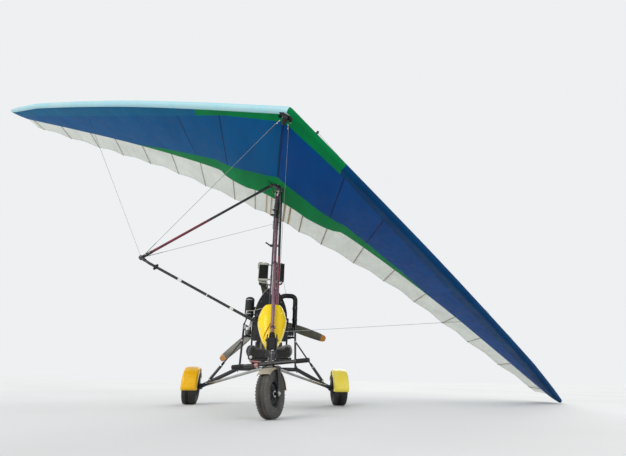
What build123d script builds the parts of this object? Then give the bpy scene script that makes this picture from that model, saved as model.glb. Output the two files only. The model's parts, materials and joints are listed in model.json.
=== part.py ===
from build123d import *
from math import asin, atan2, cos, degrees, pi, radians, sin, sqrt, tan
import os

# Flex-wing microlight trike, parked with its wing rolled over onto the left tip.
# Millimetres. +X is the pilot's left, -Y the nose, +Z up. Everything is drawn first in the
# trike frame, whose origin is on the ground under the middle of the rear axle, and is moved
# at the end so that the origin is under the middle of the whole aircraft.

# Wheels
wheelbase = 1710.0
track = 1720.0
rear_tyre_d = 380.0
rear_tyre_w = 155.0
rear_rim_d = 210.0
front_tyre_d = 344.0
front_tyre_w = 100.0
front_rim_d = 190.0
hub_d = 62.0
rim_step = 10.0
rim_lip = 5.0
rim_barrel = 15.0
rim_waist = 0.22
crown_share = 0.3
shoulder_share = (0.43, 0.945)
belly_share = 0.82
wall_share = (0.46, 0.3)
bead_share = 0.34
wheel_facets = 40
rear_pin_d = 20.0
front_pin_d = 16.0
bearing_play = 0.08
seat_gap = 0.3

# Main beam, head tube and steering
beam_side = 50.0
beam_wall = 3.0
beam_z = 435.0
beam_tail = 215.0
head_d = 42.0
head_length = 104.0
steer_rake = 10.0
steer_rest = -28.0
stem_d = 25.0
stem_play = 0.5
crown_t = 12.0
crown_side = 52.0
fork_leg_t = 8.0
fork_leg_w = 44.0
fork_leg_low_w = 30.0
fork_side_gap = 9.0
pin_wall = 5.0
pin_beyond = 9.0
stem_above = 16.0
stem_cap_t = 12.0
head_gap = 2.0
yoke_half = 30.0
mudguard_gap = 14.0
mudguard_t = 3.0
mudguard_lip = 9.0
mudguard_side = 4.0
mudguard_span = (15.0, 165.0)
mudguard_strakes = 10
foot_bar_d = 28.0
foot_bar_half = 335.0
foot_bar_lead = 46.0
foot_bar_grip = 105.0
foot_bar_grip_d = 34.0

# Rear undercarriage
axle_tube_d = 45.0
axle_tube_half = 345.0
end_plate_t = 5.0
end_plate_side = 76.0
leg_d = 45.0
knuckle_d = 58.0
knuckle_w = 34.0
wheel_side_gap = 14.0
axle_collar_wall = 6.0
axle_pin_beyond = 12.0
drag_d = 28.0
drag_front_y = -930.0
lug_d = 40.0
shock_d = 18.0
shock_body_d = 34.0
shock_body_length = 190.0
shock_tail = 60.0
shock_top_share = 0.62
shock_end_share = 0.86
spat_gap = 16.0
spat_t = 3.0
spat_side = 10.0
spat_wall = 52.0
spat_corner = 26.0
spat_front = -12.0
spat_rear = 150.0
spat_strakes = 12
strap_half = 16.0
strap_below = 20.0

# Mast and front strut
mast_d = 60.0
mast_wall = 3.0
mast_foot_y = -50.0
mast_cheek_t = 6.0
mast_cheek_half = 70.0
mast_cheek_top = (-50.0, 20.0, 120.0)
mast_packing_half = 40.0
mast_packing_low = 6.0
mast_bolt_d = 20.0
mast_bolt_head = 9.0
mast_bolt_place = (-12.0, 42.0)
mast_top_drop = 72.0
mast_plug = 18.0
hang_y = -611.0
hang_height = 2475.0
hang_drop = 70.0
tongue_w = 50.0
tongue_d = 48.0
hang_pin_d = 14.0
strut_d = 34.0
strut_foot_y = -1304.0
strut_foot_z = 607.0
strut_top_z = 2200.0
foot_block_w = 96.0
foot_block_l = 84.0
foot_cheek_t = 14.0
foot_cheek_rise = 52.0
foot_cheek_cut = (26.0, 30.0)
foot_inset = 12.0

# Seat
seat_rail_d = 22.0
seat_half = 205.0
rail_front = 20.0
seat_cross = (60.0, -40.0)
cushion_front_y = -860.0
cushion_back_y = -400.0
cushion_half = 240.0
cushion_t = 118.0
cushion_edge = 34.0
cushion_bolster = 80.0
back_base_z = 690.0
back_t = 46.0
back_half = 212.0
back_top_half = 127.0
back_shoulder = 235.0
back_step = 292.0
neck_half = 34.0
back_height = 560.0
neck_cut = 26.0
neck_top_share = 0.6
frame_shoulder = 255.0
frame_top = 330.0
# Panel behind the seat: tabs' inner and outer edge, and the outline's corners in X and Z
panel_t = 6.0
panel_low_z = 976.0
panel_tab = (58.0, 100.0)
panel_tab_z = 765.0
panel_edge = ((100.0, 940.0), (196.0, 975.0), (190.0, 1050.0), (158.0, 1150.0), (112.0, 1240.0),
              (62.0, 1305.0), (20.0, 1335.0))

# Nose pod
pod_wall = 4.0
pod_foot_w = 44.0

# Power unit
post_d = 25.0
post_top_z = 912.0
post_lean = 18.0
deck_z = 775.0
bearer_x = 108.0
bearer_d = 32.0
front_bar_ahead = 35.5614
case_w = 236.0
case_front_y = -100.0
case_back_y = 196.0
case_h = 168.0
case_edge = 26.0
flange_t = 10.0
flange_reach = 7.0
starter_d = 140.0
starter_t = 26.0
cylinder_w = 132.0
cylinder_l = 138.0
cylinder_h = 230.0
cylinder_pitch = 168.0
cylinder_mid_y = 20.0
head_h = 52.0
fin_count = 6
fin_t = 7.0
fin_reach = 11.0
gearbox_w = 150.0
gearbox_l = 132.0
prop_axis_z = 1038.0
prop_y = 440.0
prop_shaft_d = 30.0
nose_boss_d = 92.0
hub_plate_d = 150.0
hub_plate_t = 56.0
blade_radius = 808.0
blade_angles = (102.0, 222.0, -18.0)
exhaust_d = 60.0
exhaust_wall = 2.5
exhaust_bend = 62.0
exhaust_port_z = 1170.0
exhaust_rise_x = 150.0
exhaust_x = 312.0
exhaust_y = 60.0
exhaust_top_z = 1284.0
exhaust_end_z = 850.0
airbox_d = 112.0
airbox_x = -262.0
airbox_y = -40.0
airbox_z = (968.0, 1232.0)
airbox_end = (0.55, 0.45)
airbox_sides = 16
airbox_stand_d = 16.0
carb_d = 54.0
carb_z = 1092.0
carb_throat_share = 0.62
carb_reach = 44.0
carb_bowl = (-46.0, 40.0)
carb_splay = 0.3
radiator_x = (-121.0, 90.0)
radiator_w = 128.0
radiator_t = 58.0
radiator_y = 58.0
radiator_z = (1468.0, 1706.0)
radiator_rim = 12.0
radiator_recess = 8.0
radiator_neck_d = 28.0
radiator_neck = 22.0
radiator_bar_d = 14.0
radiator_bar_inset = 20.0
radiator_leg_x = 40.0
radiator_leg_lead = 20.0
radiator_leg_splay = 1.9
tank_half = 165.0
tank_y = (22.0, 208.0)
tank_z_top = 715.0
tank_edge = 20.0
filler_d = 56.0
filler_h = 22.0
filler_inset = 46.0

# Wing, in its own frame: X across, Y aft along the keel, Z up, origin on the keel at the hang point
wing_pitch = -3.6
pitch_travel = 9.0
keel_d = 50.0
keel_wall = 2.0
keel_front = -1330.0
keel_tail = 1150.0
tail_sleeve_d = 56.0
tail_sleeve_length = 60.0
collar_wall = 6.0
collar_length = 90.0
collar_play = 0.3
bracket_cheek_t = 8.0
bracket_play = 0.8
bracket_clear = 16.0
bracket_pin_beyond = 12.0
stop_ring_t = 9.0
stop_ring_wall = 7.0
stop_ring_gap = 1.0
nose_half = 55.0
leading_d = 62.0
leading_wall = 2.0
skin_t = 5.0
# The flat triangles of a twisted bay dip this far towards the leading edge tube
twist_play = 1.0
kingpost_d = 26.0
kingpost_y = 114.0
kingpost_height = 1133.0
kingpost_cap = (-20.0, 26.0)
kingpost_cap_wall = 5.0
kingpost_hole_gap = 6.0
upright_d = 29.0
upright_wall = 2.0
upright_top = (75.0, -100.0, -62.0)
corner_clear_z = 940.0
corner = (832.0, -50.0, corner_clear_z - hang_height)
bar_bend = (690.0, -135.0, corner_clear_z - hang_height - 25.0)
bar_d = 28.0
bar_wall = 2.0
stay_d = 4.0
corner_d = 50.0
corner_half = 21.0
side_stay_end = (3050.0, 600.0)
rear_stay_end = (23.0, 1030.0, -8.0)
notch_half = 132.0
notch_y = (-175.0, 78.0)
plate_t = 5.0
# The leading edge tube's section is this much longer along Y than across, for its sweep
sweep_stretch = 1.24

# One row for each rib line of the half wing, root to tip
# x, leading edge y, z, crest y, z, under-surface's rear edge y, z, trailing edge y, z
wing_ribs = (
    (0.0, -1352.0, 66.0, -620.0, 212.0, 210.0, 62.0, 905.0, 38.0),
    (1000.0, -880.0, -25.0, -330.0, 165.0, 500.0, 116.0, 1165.0, 112.0),
    (2000.0, -348.0, -82.0, 120.0, 122.0, 880.0, 142.0, 1410.0, 156.0),
    (3000.0, 242.0, -122.0, 610.0, 66.0, 1250.0, 120.0, 1685.0, 118.0),
    (4000.0, 868.0, -150.0, 1110.0, -18.0, 1545.0, 22.0, 1905.0, 42.0),
    (4900.0, 1520.0, -172.0, 1640.0, -110.0, 1830.0, -66.0, 2100.0, -20.0),
)
# The under surface passes below the keel at the root: y and z of its front and rear edge there
under_root = (-1225.0, -32.0, 210.0, -32.0)


# Small helpers

def axis_plane(p, q):
    # Plane at p whose normal runs towards q
    start = Vector(*p)
    return Plane(origin=start, z_dir=(Vector(*q) - start).normalized())


def distance(p, q):
    return (Vector(*q) - Vector(*p)).length


def rod(p, q, d):
    bar = Cylinder(d / 2, distance(p, q), align=(Align.CENTER, Align.CENTER, Align.MIN))
    return axis_plane(p, q) * bar


def tube(p, q, d, wall):
    return rod(p, q, d) - rod(p, q, d - 2 * wall)


def block(low, high):
    size = [high[i] - low[i] for i in range(3)]
    middle = [(high[i] + low[i]) / 2 for i in range(3)]
    return Pos(*middle) * Box(*size)


def largest(shape):
    # What is left of a coped piece, without the offcuts
    solids = sorted(shape.solids(), key=lambda s: s.volume)
    return Part() + solids[-1]


def coped(piece, *others):
    for other in others:
        piece = piece - other
    return largest(piece)


def flip(shape):
    return mirror(shape, about=Plane.YZ)


def facets(sections):
    # Closed solid of flat triangles between sections, each a list of points in the same order
    count = len(sections[0])
    faces = []
    for a, b in zip(sections, sections[1:]):
        for i in range(count):
            j = (i + 1) % count
            faces.append(Face(Wire.make_polygon([a[i], a[j], b[i]])))
            faces.append(Face(Wire.make_polygon([a[j], b[j], b[i]])))
    for end in (sections[0], sections[-1]):
        faces.append(Face(Wire.make_polygon(end)))
    return Part() + Solid(Shell(faces))


def skin(ribs, thickness):
    # Closed thin shell: rib lines from front to rear, and the same lines raised by the thickness
    tops = [[(x, y, z + thickness) for x, y, z in rib] for rib in ribs]
    faces = []
    for sheet in (ribs, tops):
        for a, b in zip(sheet, sheet[1:]):
            for i in range(len(a) - 1):
                faces.append(Face(Wire.make_polygon([a[i], a[i + 1], b[i]])))
                faces.append(Face(Wire.make_polygon([a[i + 1], b[i + 1], b[i]])))
    for i in (0, -1):
        for k in range(len(ribs) - 1):
            faces.append(Face(Wire.make_polygon([ribs[k][i], ribs[k + 1][i], tops[k + 1][i], tops[k][i]])))
    for k in (0, -1):
        faces.append(Face(Wire.make_polygon([*ribs[k], *reversed(tops[k])])))
    return Part() + Solid(Shell(faces))


def turned(section, start, stop, count):
    # Closed section of (along the axle, radius) carried round the X axis in flat strakes.
    # 0 is ahead and 90 above; a whole turn closes on itself
    step = (stop - start) / count
    whole = stop - start >= 360
    angles = [radians(start + i * step) for i in range(count if whole else count + 1)]
    rings = [[(x, -r * cos(a), r * sin(a)) for x, r in section] for a in angles]
    faces = []
    for k in range(count):
        a = rings[k]
        b = rings[(k + 1) % len(rings)]
        for i in range(len(section)):
            j = (i + 1) % len(section)
            faces.append(Face(Wire.make_polygon([a[i], a[j], b[j], b[i]])))
    if not whole:
        for end in (rings[0], rings[-1]):
            faces.append(Face(Wire.make_polygon(end)))
    return Part() + Solid(Shell(faces))


def both_sides(half):
    # Section drawn on the +X side from its start, closed through its mirror image
    return [*half, *[(-x, r) for x, r in reversed(half)]]


def bent(points, d):
    # Round bar along straight runs with mitred corners
    path = Polyline(*points)
    section = axis_plane(points[0], points[1]) * Circle(d / 2)
    return sweep(section, path=path, transition=Transition.RIGHT)


def bent_tube(points, d, wall):
    return bent(points, d) - bent(points, d - 2 * wall)


def between(p, q, share):
    return tuple(p[i] + (q[i] - p[i]) * share for i in range(3))


def on_side(p, side):
    return (side * p[0], p[1], p[2])


# Frames and places that follow from the sizes above

rear_axle_z = rear_tyre_d / 2
beam_top = beam_z + beam_side / 2
beam_bottom = beam_z - beam_side / 2
axle_tube_z = beam_bottom - axle_tube_d / 2

# The steered wheel leans as it turns on its raked axis, and stands on its tread's edge
lean = asin(sin(radians(abs(steer_rest))) * sin(radians(steer_rake)))
front_axle_z = front_tyre_d / 2 * cos(lean) + front_tyre_w * crown_share * sin(lean)
fork_frame = Location((0, -wheelbase, front_axle_z), (-steer_rake, 0, 0))
fork_turned = fork_frame * Location((0, 0, 0), (0, 0, steer_rest))
crown_z = front_tyre_d / 2 + mudguard_gap + mudguard_t + seat_gap
head_base = crown_z + crown_t + head_gap
head_mid_y = -wheelbase + (head_base + head_length / 2) * sin(radians(steer_rake))

# The mast leans forward from its foot on the beam to the hang pin below the keel
pitch_r = radians(wing_pitch)
hang_pin = (0.0, hang_y + hang_drop * sin(pitch_r), hang_height - hang_drop * cos(pitch_r))
mast_foot = (0.0, mast_foot_y, beam_top)
mast_slope = (hang_pin[1] - mast_foot_y) / (hang_pin[2] - beam_top)
mast_top_z = hang_pin[2] - mast_top_drop


def mast_y(z):
    return mast_foot_y + mast_slope * (z - beam_top)


# The wing rolls until the leading edge's end lies on the ground
tip = wing_ribs[-1]
tip_x = tip[0]
tip_reach = sqrt(tip_x ** 2 + tip[2] ** 2)
tip_drop = (hang_height + tip[1] * sin(pitch_r) - leading_d / 2 - skin_t) / cos(pitch_r)
wing_roll = degrees(asin(tip_drop / tip_reach) - atan2(-tip[2], tip_x))
bracket_frame = Location((0, hang_y, hang_height), (wing_pitch, 0, 0))
wing_frame = bracket_frame * Location((0, 0, 0), (0, wing_roll, 0))


# Wheels

def tyre(d, w, rim_d):
    # Section from the bead over the side wall and shoulder to the tread, in width and radius
    r = d / 2
    base = rim_d / 2
    half = [(w * bead_share, base), (w * wall_share[0], base + (r - base) * wall_share[1]),
            (w / 2, r * belly_share), (w * shoulder_share[0], r * shoulder_share[1]), (w * crown_share, r)]
    return turned(both_sides(half), 0, 360, wheel_facets)


def rim(w, rim_d, pin_d):
    # Hub, thin dished web and a barrel that carries the beads, bored for its pin
    r = rim_d / 2 - seat_gap
    edge = w * bead_share
    hub = hub_d / 2
    bore = pin_d / 2 + bearing_play
    waist = edge * rim_waist
    half = [(edge, bore / 2), (edge, hub), (waist, hub + rim_step), (waist, r - rim_barrel),
            (edge, r - rim_lip), (edge, r)]
    centre = rod((-w, 0, 0), (w, 0, 0), 2 * bore)
    return turned(both_sides(half), 0, 360, wheel_facets) - centre


rear_tyre = tyre(rear_tyre_d, rear_tyre_w, rear_rim_d)
rear_rim = rim(rear_tyre_w, rear_rim_d, rear_pin_d)
front_tyre = tyre(front_tyre_d, front_tyre_w, front_rim_d)
front_rim = rim(front_tyre_w, front_rim_d, front_pin_d)
rear_wheel_places = {"left": (track / 2, 0, rear_axle_z), "right": (-track / 2, 0, rear_axle_z)}


# Steering: drawn straight ahead about its own axis, then turned

def fork():
    inner = front_tyre_w / 2 + fork_side_gap
    outer = inner + fork_leg_t
    crown = block((-outer, -crown_side / 2, crown_z), (outer, crown_side / 2, crown_z + crown_t))
    stem = rod((0, 0, crown_z), (0, 0, head_base + head_length + stem_above), stem_d)
    cap_z = head_base + head_length + head_gap
    cap = rod((0, 0, cap_z), (0, 0, cap_z + stem_cap_t), head_d)
    piece = crown + stem + cap
    low = fork_leg_low_w / 2
    high = crown_side / 2
    # Plate legs, narrow above the axle's eye and as wide as the crown at the top
    outline = Polyline((-low, 0), (-low, fork_leg_w), (-high, crown_z), (high, crown_z),
                       (low, fork_leg_w), (low, 0), close=True)
    plate = extrude(Plane.YZ * make_face(outline), fork_leg_t)
    for side in (-1, 1):
        x0, x1 = sorted((side * inner, side * outer))
        leg = Pos(x0, 0, 0) * plate
        foot = rod((x0, 0, 0), (x1, 0, 0), fork_leg_w)
        boss = rod((side * hub_half(front_tyre_w), 0, 0), (side * inner, 0, 0), front_pin_d + 2 * pin_wall)
        piece = piece + leg + foot + boss
    pin = rod((-outer - pin_beyond, 0, 0), (outer + pin_beyond, 0, 0), front_pin_d)
    # Seat for the foot bar on the crown's front edge
    yoke = block((-yoke_half, -foot_bar_lead, crown_z), (yoke_half, 0, crown_z + crown_t))
    return piece + pin + yoke


def hub_half(w):
    return w * bead_share + 1.0


def foot_bar():
    z = crown_z + crown_t + foot_bar_d / 2
    piece = rod((-foot_bar_half, -foot_bar_lead, z), (foot_bar_half, -foot_bar_lead, z), foot_bar_d)
    for side in (-1, 1):
        inner = (side * (foot_bar_half - foot_bar_grip), -foot_bar_lead, z)
        outer = (side * foot_bar_half, -foot_bar_lead, z)
        piece = piece + rod(inner, outer, foot_bar_grip_d)
    return piece


def guard_section(inner, t, half, drop, corner):
    # Open channel over a tyre: side walls that drop past the crown, with cut corners between
    top = inner + t
    cut = 0.3 * corner
    shift = 0.7 * t
    outside = [(half, inner - drop), (half, top - corner), (half - cut, top - cut), (half - corner, top)]
    inside = [(half - t, inner - drop), (half - t, top - corner), (half - cut - shift, top - cut - shift),
              (half - corner, inner)]
    return [*both_sides(outside), *reversed(both_sides(inside))]


def front_mudguard():
    inner = front_tyre_d / 2 + mudguard_gap
    half = front_tyre_w / 2 + mudguard_side
    section = guard_section(inner, mudguard_t, half, mudguard_lip, mudguard_lip)
    return turned(section, *mudguard_span, mudguard_strakes)


# Beam with its head tube

def beam():
    front = head_mid_y
    outer = block((-beam_side / 2, front, beam_bottom), (beam_side / 2, beam_tail, beam_top))
    inner_half = beam_side / 2 - beam_wall
    inner = block((-inner_half, front, beam_z - inner_half), (inner_half, beam_tail, beam_z + inner_half))
    head_low = (0, 0, head_base)
    head_high = (0, 0, head_base + head_length)
    head = fork_frame * rod(head_low, head_high, head_d)
    bore = fork_frame * rod((0, 0, head_base - 1), (0, 0, head_base + head_length + 1), stem_d + 2 * stem_play)
    return coped((outer - inner) + head, bore)


def axle_tube():
    piece = rod((-axle_tube_half, 0, axle_tube_z), (axle_tube_half, 0, axle_tube_z), axle_tube_d)
    half = end_plate_side / 2
    for side in (-1, 1):
        x0, x1 = sorted((side * axle_tube_half, side * (axle_tube_half + end_plate_t)))
        piece = piece + block((x0, -half, axle_tube_z - half), (x1, half, axle_tube_z + half))
    return piece


leg_root_x = axle_tube_half + end_plate_t
knuckle_x = track / 2 - rear_tyre_w / 2 - wheel_side_gap - knuckle_w / 2
leg_root = (leg_root_x, 0, axle_tube_z)
leg_end = (knuckle_x, 0, rear_axle_z)


def gear_leg(side):
    inner = between(leg_root, leg_end, -0.1)
    leg = rod(inner, leg_end, leg_d)
    room = block((leg_root_x, -leg_d, 0), (knuckle_x, leg_d, beam_top))
    knuckle = rod((knuckle_x - knuckle_w / 2, 0, rear_axle_z), (knuckle_x + knuckle_w / 2, 0, rear_axle_z),
                  knuckle_d)
    collar_end = track / 2 - hub_half(rear_tyre_w)
    collar = rod((knuckle_x, 0, rear_axle_z), (collar_end, 0, rear_axle_z),
                 rear_pin_d + 2 * axle_collar_wall)
    pin_end = track / 2 + hub_half(rear_tyre_w) + axle_pin_beyond
    pin = rod((knuckle_x, 0, rear_axle_z), (pin_end, 0, rear_axle_z), rear_pin_d)
    piece = (leg & room) + knuckle + collar + pin
    return piece if side > 0 else flip(piece)


def knuckle_solid():
    return rod((knuckle_x - knuckle_w / 2, 0, rear_axle_z), (knuckle_x + knuckle_w / 2, 0, rear_axle_z),
               knuckle_d)


def drag_strut():
    # From a lug under the beam back to the knuckle
    lug_z = beam_bottom - lug_d / 2
    start = (lug_d / 2, drag_front_y, lug_z)
    end = (knuckle_x, 0, rear_axle_z)
    strut = rod(start, end, drag_d)
    leg = rod(between(leg_root, leg_end, -0.1), leg_end, leg_d)
    strut = coped(strut, knuckle_solid(), leg)
    lug = rod((0, drag_front_y, lug_z), (lug_d / 2 + drag_d, drag_front_y, lug_z), lug_d)
    half = coped(strut, lug) + lug
    return half


post_top = (axle_tube_half - post_lean - post_d / 2, 0, post_top_z)
post_foot = (axle_tube_half - post_d / 2, 0, axle_tube_z)
shock_top = between(post_foot, post_top, shock_top_share)
shock_end = between(leg_root, leg_end, shock_end_share)


def shock_struts():
    # Thin rod in a short damper body, from the post down to the leg's outer end
    side = drawn_shock()
    return side + flip(side)


def drawn_shock():
    line = rod(shock_top, shock_end, shock_d)
    length = distance(shock_top, shock_end)
    body_end = between(shock_top, shock_end, 1 - shock_tail / length)
    body_start = between(shock_top, shock_end, 1 - (shock_tail + shock_body_length) / length)
    piece = line + rod(body_start, body_end, shock_body_d)
    leg = rod(between(leg_root, leg_end, -0.2), leg_end, leg_d)
    post = rod(post_foot, post_top, post_d)
    return coped(piece, leg, post)


def spat(side):
    # Mudguard over the rear wheel with a wall each side, on a strap from the knuckle
    inner = rear_tyre_d / 2 + spat_gap
    half = rear_tyre_w / 2 + spat_side
    x = track / 2
    section = guard_section(inner, spat_t, half, spat_wall, spat_corner)
    cover = Pos(x, 0, rear_axle_z) * turned(section, spat_front, spat_rear, spat_strakes)
    strap_x = knuckle_x + knuckle_w / 2
    strap = block((strap_x, -strap_half, rear_axle_z), (x - half, strap_half, rear_axle_z + inner - strap_below))
    strap = strap - rod((strap_x - 1, 0, rear_axle_z), (x, 0, rear_axle_z), rear_pin_d + 2 * axle_collar_wall)
    piece = cover + strap
    return piece if side > 0 else flip(piece)


# Mast and strut

def mast():
    top = (0, mast_y(mast_top_z), mast_top_z)
    low = between(mast_foot, top, -0.05)
    room = block((-mast_d, 2 * hang_y, beam_top), (mast_d, mast_d, hang_height))
    shaft = tube(low, top, mast_d, mast_wall) & room
    # Tongue that takes the hang pin, closed into the tube's top
    plane = axis_plane(mast_foot, hang_pin)
    reach = distance(top, hang_pin)
    length = distance(mast_foot, hang_pin)
    neck = Pos(0, 0, length - reach / 2) * Box(tongue_w, tongue_d, reach)
    plug = Pos(0, 0, length - reach - mast_plug / 2) * Cylinder(mast_d / 2 - mast_wall, mast_plug)
    tongue = plane * (neck + plug)
    eye = rod((-tongue_w / 2, hang_pin[1], hang_pin[2]), (tongue_w / 2, hang_pin[1], hang_pin[2]), tongue_d)
    bore = rod((-tongue_w, hang_pin[1], hang_pin[2]), (tongue_w, hang_pin[1], hang_pin[2]),
               hang_pin_d + 2 * bearing_play)
    return (shaft + tongue + eye) - bore


def mast_outer():
    return rod(between(mast_foot, hang_pin, -0.05), hang_pin, mast_d)


def mast_bracket():
    # Two cheeks on the beam's sides, up both sides of the mast's foot, with a bolt's ends
    piece = None
    wide = mast_cheek_half
    front, back, high = mast_cheek_top
    profile = Polyline((-wide, -beam_side / 2), (wide, -beam_side / 2), (wide, beam_side / 2),
                       (back, high), (front, high), (-wide, beam_side / 2), close=True)
    inner = mast_d / 2 + seat_gap
    outer = inner + mast_cheek_t
    for side in (-1, 1):
        x = side * (inner + mast_cheek_t / 2)
        cheek = Pos(x, mast_foot_y, beam_z) * extrude(Plane.YZ * make_face(profile), mast_cheek_t / 2, both=True)
        x0, x1 = sorted((side * beam_side / 2, side * inner))
        packing = block((x0, mast_foot_y - mast_packing_half, beam_bottom),
                        (x1, mast_foot_y + mast_packing_half, beam_top - mast_packing_low))
        bolt_y = mast_foot_y + mast_bolt_place[0]
        bolt_z = beam_top + mast_bolt_place[1]
        bolt = rod((side * outer, bolt_y, bolt_z), (side * (outer + mast_bolt_head), bolt_y, bolt_z), mast_bolt_d)
        one = cheek + packing + bolt
        piece = one if piece is None else piece + one
    return piece


strut_foot = (0.0, strut_foot_y, strut_foot_z)
strut_top = (0.0, mast_y(strut_top_z) - mast_d / 2, strut_top_z)


def front_strut():
    beyond = between(strut_foot, strut_top, 1.03)
    return coped(rod(strut_foot, beyond, strut_d), mast_outer())


def strut_outer():
    return rod(between(strut_foot, strut_top, -0.05), strut_top, strut_d)


def strut_bracket():
    # Pedestal on the beam with two cheeks that take the strut's foot
    w = foot_block_w / 2
    half = foot_block_l / 2
    y0 = strut_foot_y - half
    y1 = strut_foot_y + half
    top = strut_foot_z + foot_cheek_rise
    cut_y, cut_z = foot_cheek_cut
    piece = block((-w + foot_cheek_t, y0 + foot_inset, beam_top),
                  (w - foot_cheek_t, y1 - foot_inset, strut_foot_z - foot_inset))
    profile = Polyline((y0, beam_top), (y1, beam_top), (y1, top - cut_z), (y1 - cut_y, top), (y0 + cut_y, top),
                       (y0, top - cut_z), close=True)
    for side in (-1, 1):
        cheek = extrude(Plane.YZ * make_face(profile), foot_cheek_t / 2, both=True)
        piece = piece + Pos(side * (w - foot_cheek_t / 2), 0, 0) * cheek
    return coped(piece, strut_outer())


# Seat

seat_z = beam_top + seat_rail_d / 2
rail_behind = mast_d / 2 + seat_rail_d / 2 + 8.0


def seat_frame():
    # Rails under the cushion that turn up behind the back and meet at the mast
    d = seat_rail_d
    piece = None
    top_z = back_base_z + frame_top
    top_y = mast_y(top_z) - mast_d / 2 - d / 2 - seat_gap
    shoulder_z = back_base_z + frame_shoulder
    shoulder_y = mast_y(shoulder_z) - rail_behind
    back_foot_y = mast_y(seat_z) - rail_behind
    for side in (-1, 1):
        points = [
            (side * seat_half, cushion_front_y + rail_front, seat_z),
            (side * seat_half, back_foot_y, seat_z),
            (side * seat_half, shoulder_y, shoulder_z),
            (side * d / 2, top_y, top_z),
        ]
        rail = bent(points, d)
        piece = rail if piece is None else piece + rail
    for y in (cushion_front_y + seat_cross[0], cushion_back_y + seat_cross[1]):
        piece = piece + rod((-seat_half, y, seat_z), (seat_half, y, seat_z), d)
    return piece


cushion_z = seat_z + seat_rail_d / 2 + seat_gap


def seat_cushion():
    low = (-cushion_half, cushion_front_y, cushion_z)
    high = (cushion_half, cushion_back_y, cushion_z + cushion_t)
    pad = block(low, high)
    pad = chamfer(pad.edges().filter_by(Axis.Y), cushion_edge)
    dish_half = cushion_half - cushion_bolster
    dish = block((-dish_half, cushion_front_y - 1, cushion_z + cushion_t - cushion_edge),
                 (dish_half, cushion_back_y + 1, cushion_z + cushion_t + 1))
    return pad - dish


# The engine frame's front bar keeps its distance from the crankcase
bearer_front_y = case_front_y - front_bar_ahead
# The back lies on the rails, which lean with the mast
back_plane_y = mast_y(back_base_z) - rail_behind - (seat_rail_d / 2 + seat_gap) * sqrt(1 + mast_slope ** 2)


def seat_back():
    # Back with a narrow headrest on it: the wing's rear stays swing past beside the headrest
    lean_angle = degrees(atan2(-mast_slope, 1))
    stand = Location((0, back_plane_y, back_base_z), (90 + lean_angle, 0, 0))
    back = Polyline((-back_half, 0), (back_half, 0), (back_half, back_shoulder), (back_top_half, back_step),
                    (-back_top_half, back_step), (-back_half, back_shoulder), close=True)
    rest = Polyline((-neck_half, back_step + seat_gap), (neck_half, back_step + seat_gap),
                    (neck_half, back_height - neck_cut), (neck_half * neck_top_share, back_height),
                    (-neck_half * neck_top_share, back_height), (-neck_half, back_height - neck_cut), close=True)
    return stand * (extrude(make_face(back), back_t) + extrude(make_face(rest), back_t))


def back_panel():
    # Sheet behind the seat and the mast, bolted to the engine frame's front bar by two tabs
    right = [(0, panel_low_z), (panel_tab[0], panel_low_z), (panel_tab[0], panel_tab_z),
             (panel_tab[1], panel_tab_z), *panel_edge]
    left = [(-x, z) for x, z in reversed(right[1:])]
    rear = bearer_front_y - bearer_d / 2 - seat_gap
    sheet = extrude(Plane.XZ * make_face(Polyline(*right, *left, close=True)), panel_t)
    return Pos(0, rear, 0) * sheet


# Nose pod: prow ahead, open behind
# z, half width, prow y, shoulder y, rear y
pod_rows = (
    (512.0, 26.0, -1236.0, -1170.0, -1060.0),
    (556.0, 61.0, -1243.0, -1144.0, -986.0),
    (610.0, 92.0, -1244.0, -1120.0, -930.0),
    (700.0, 123.0, -1220.0, -1080.0, -896.0),
    (780.0, 140.0, -1186.0, -1050.0, -884.0),
    (846.0, 134.0, -1160.0, -1042.0, -910.0),
    (900.0, 116.0, -1136.0, -1040.0, -958.0),
    (938.0, 96.0, -1121.0, -1044.0, -980.0),
    (962.0, 72.0, -1110.0, -1050.0, -992.0),
)
# Outline of one side of a row: share of the half width, share of the way from prow to shoulder
pod_cheek = ((0.34, 0.04), (0.62, 0.17), (0.83, 0.42), (0.95, 0.7))
pod_rear = 0.86


def pod_section(row, inset, open_by):
    z, half, prow, wide, rear = row
    h = half - inset
    front = prow + 1.6 * inset
    back = rear + open_by
    side = [(across * h, front + (wide - front) * along) for across, along in pod_cheek]
    side = side + [(h, wide), (pod_rear * h, back)]
    left = [(-x, y) for x, y in reversed(side)]
    return [(x, y, z) for x, y in side + left]


def pod():
    outer = facets([pod_section(row, 0.0, 0.0) for row in pod_rows])
    rows = list(pod_rows)
    low = (rows[0][0] + pod_wall,) + rows[0][1:]
    high = (rows[-1][0] - pod_wall,) + rows[-1][1:]
    inner = facets([pod_section(row, pod_wall, 6.0) for row in [low] + rows[1:-1] + [high]])
    shell = largest(outer - inner)
    base = pod_rows[0]
    foot = block((-pod_foot_w / 2, base[2] + 30, beam_top), (pod_foot_w / 2, base[4] - 20, base[0] + 40))
    return shell + (foot - inner)


# Power unit

def engine_frame():
    cross_z = deck_z - bearer_d / 2
    share = (cross_z - post_foot[2]) / (post_top[2] - post_foot[2])
    piece = None
    for side in (-1, 1):
        foot = on_side(between(post_foot, post_top, -0.05), side)
        post = rod(foot, on_side(post_top, side), post_d)
        piece = post if piece is None else piece + post
    end = between(post_foot, post_top, share)
    piece = piece + rod(on_side(end, -1), end, post_d)
    front_y = bearer_front_y
    for side in (-1, 1):
        bearer = rod((side * bearer_x, front_y, deck_z), (side * bearer_x, case_back_y, deck_z), bearer_d)
        piece = piece + bearer
    piece = piece + rod((-bearer_x, front_y, deck_z), (bearer_x, front_y, deck_z), bearer_d)
    axle = rod((-axle_tube_half, 0, axle_tube_z), (axle_tube_half, 0, axle_tube_z), axle_tube_d)
    return coped(piece, axle, mast_outer())


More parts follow.
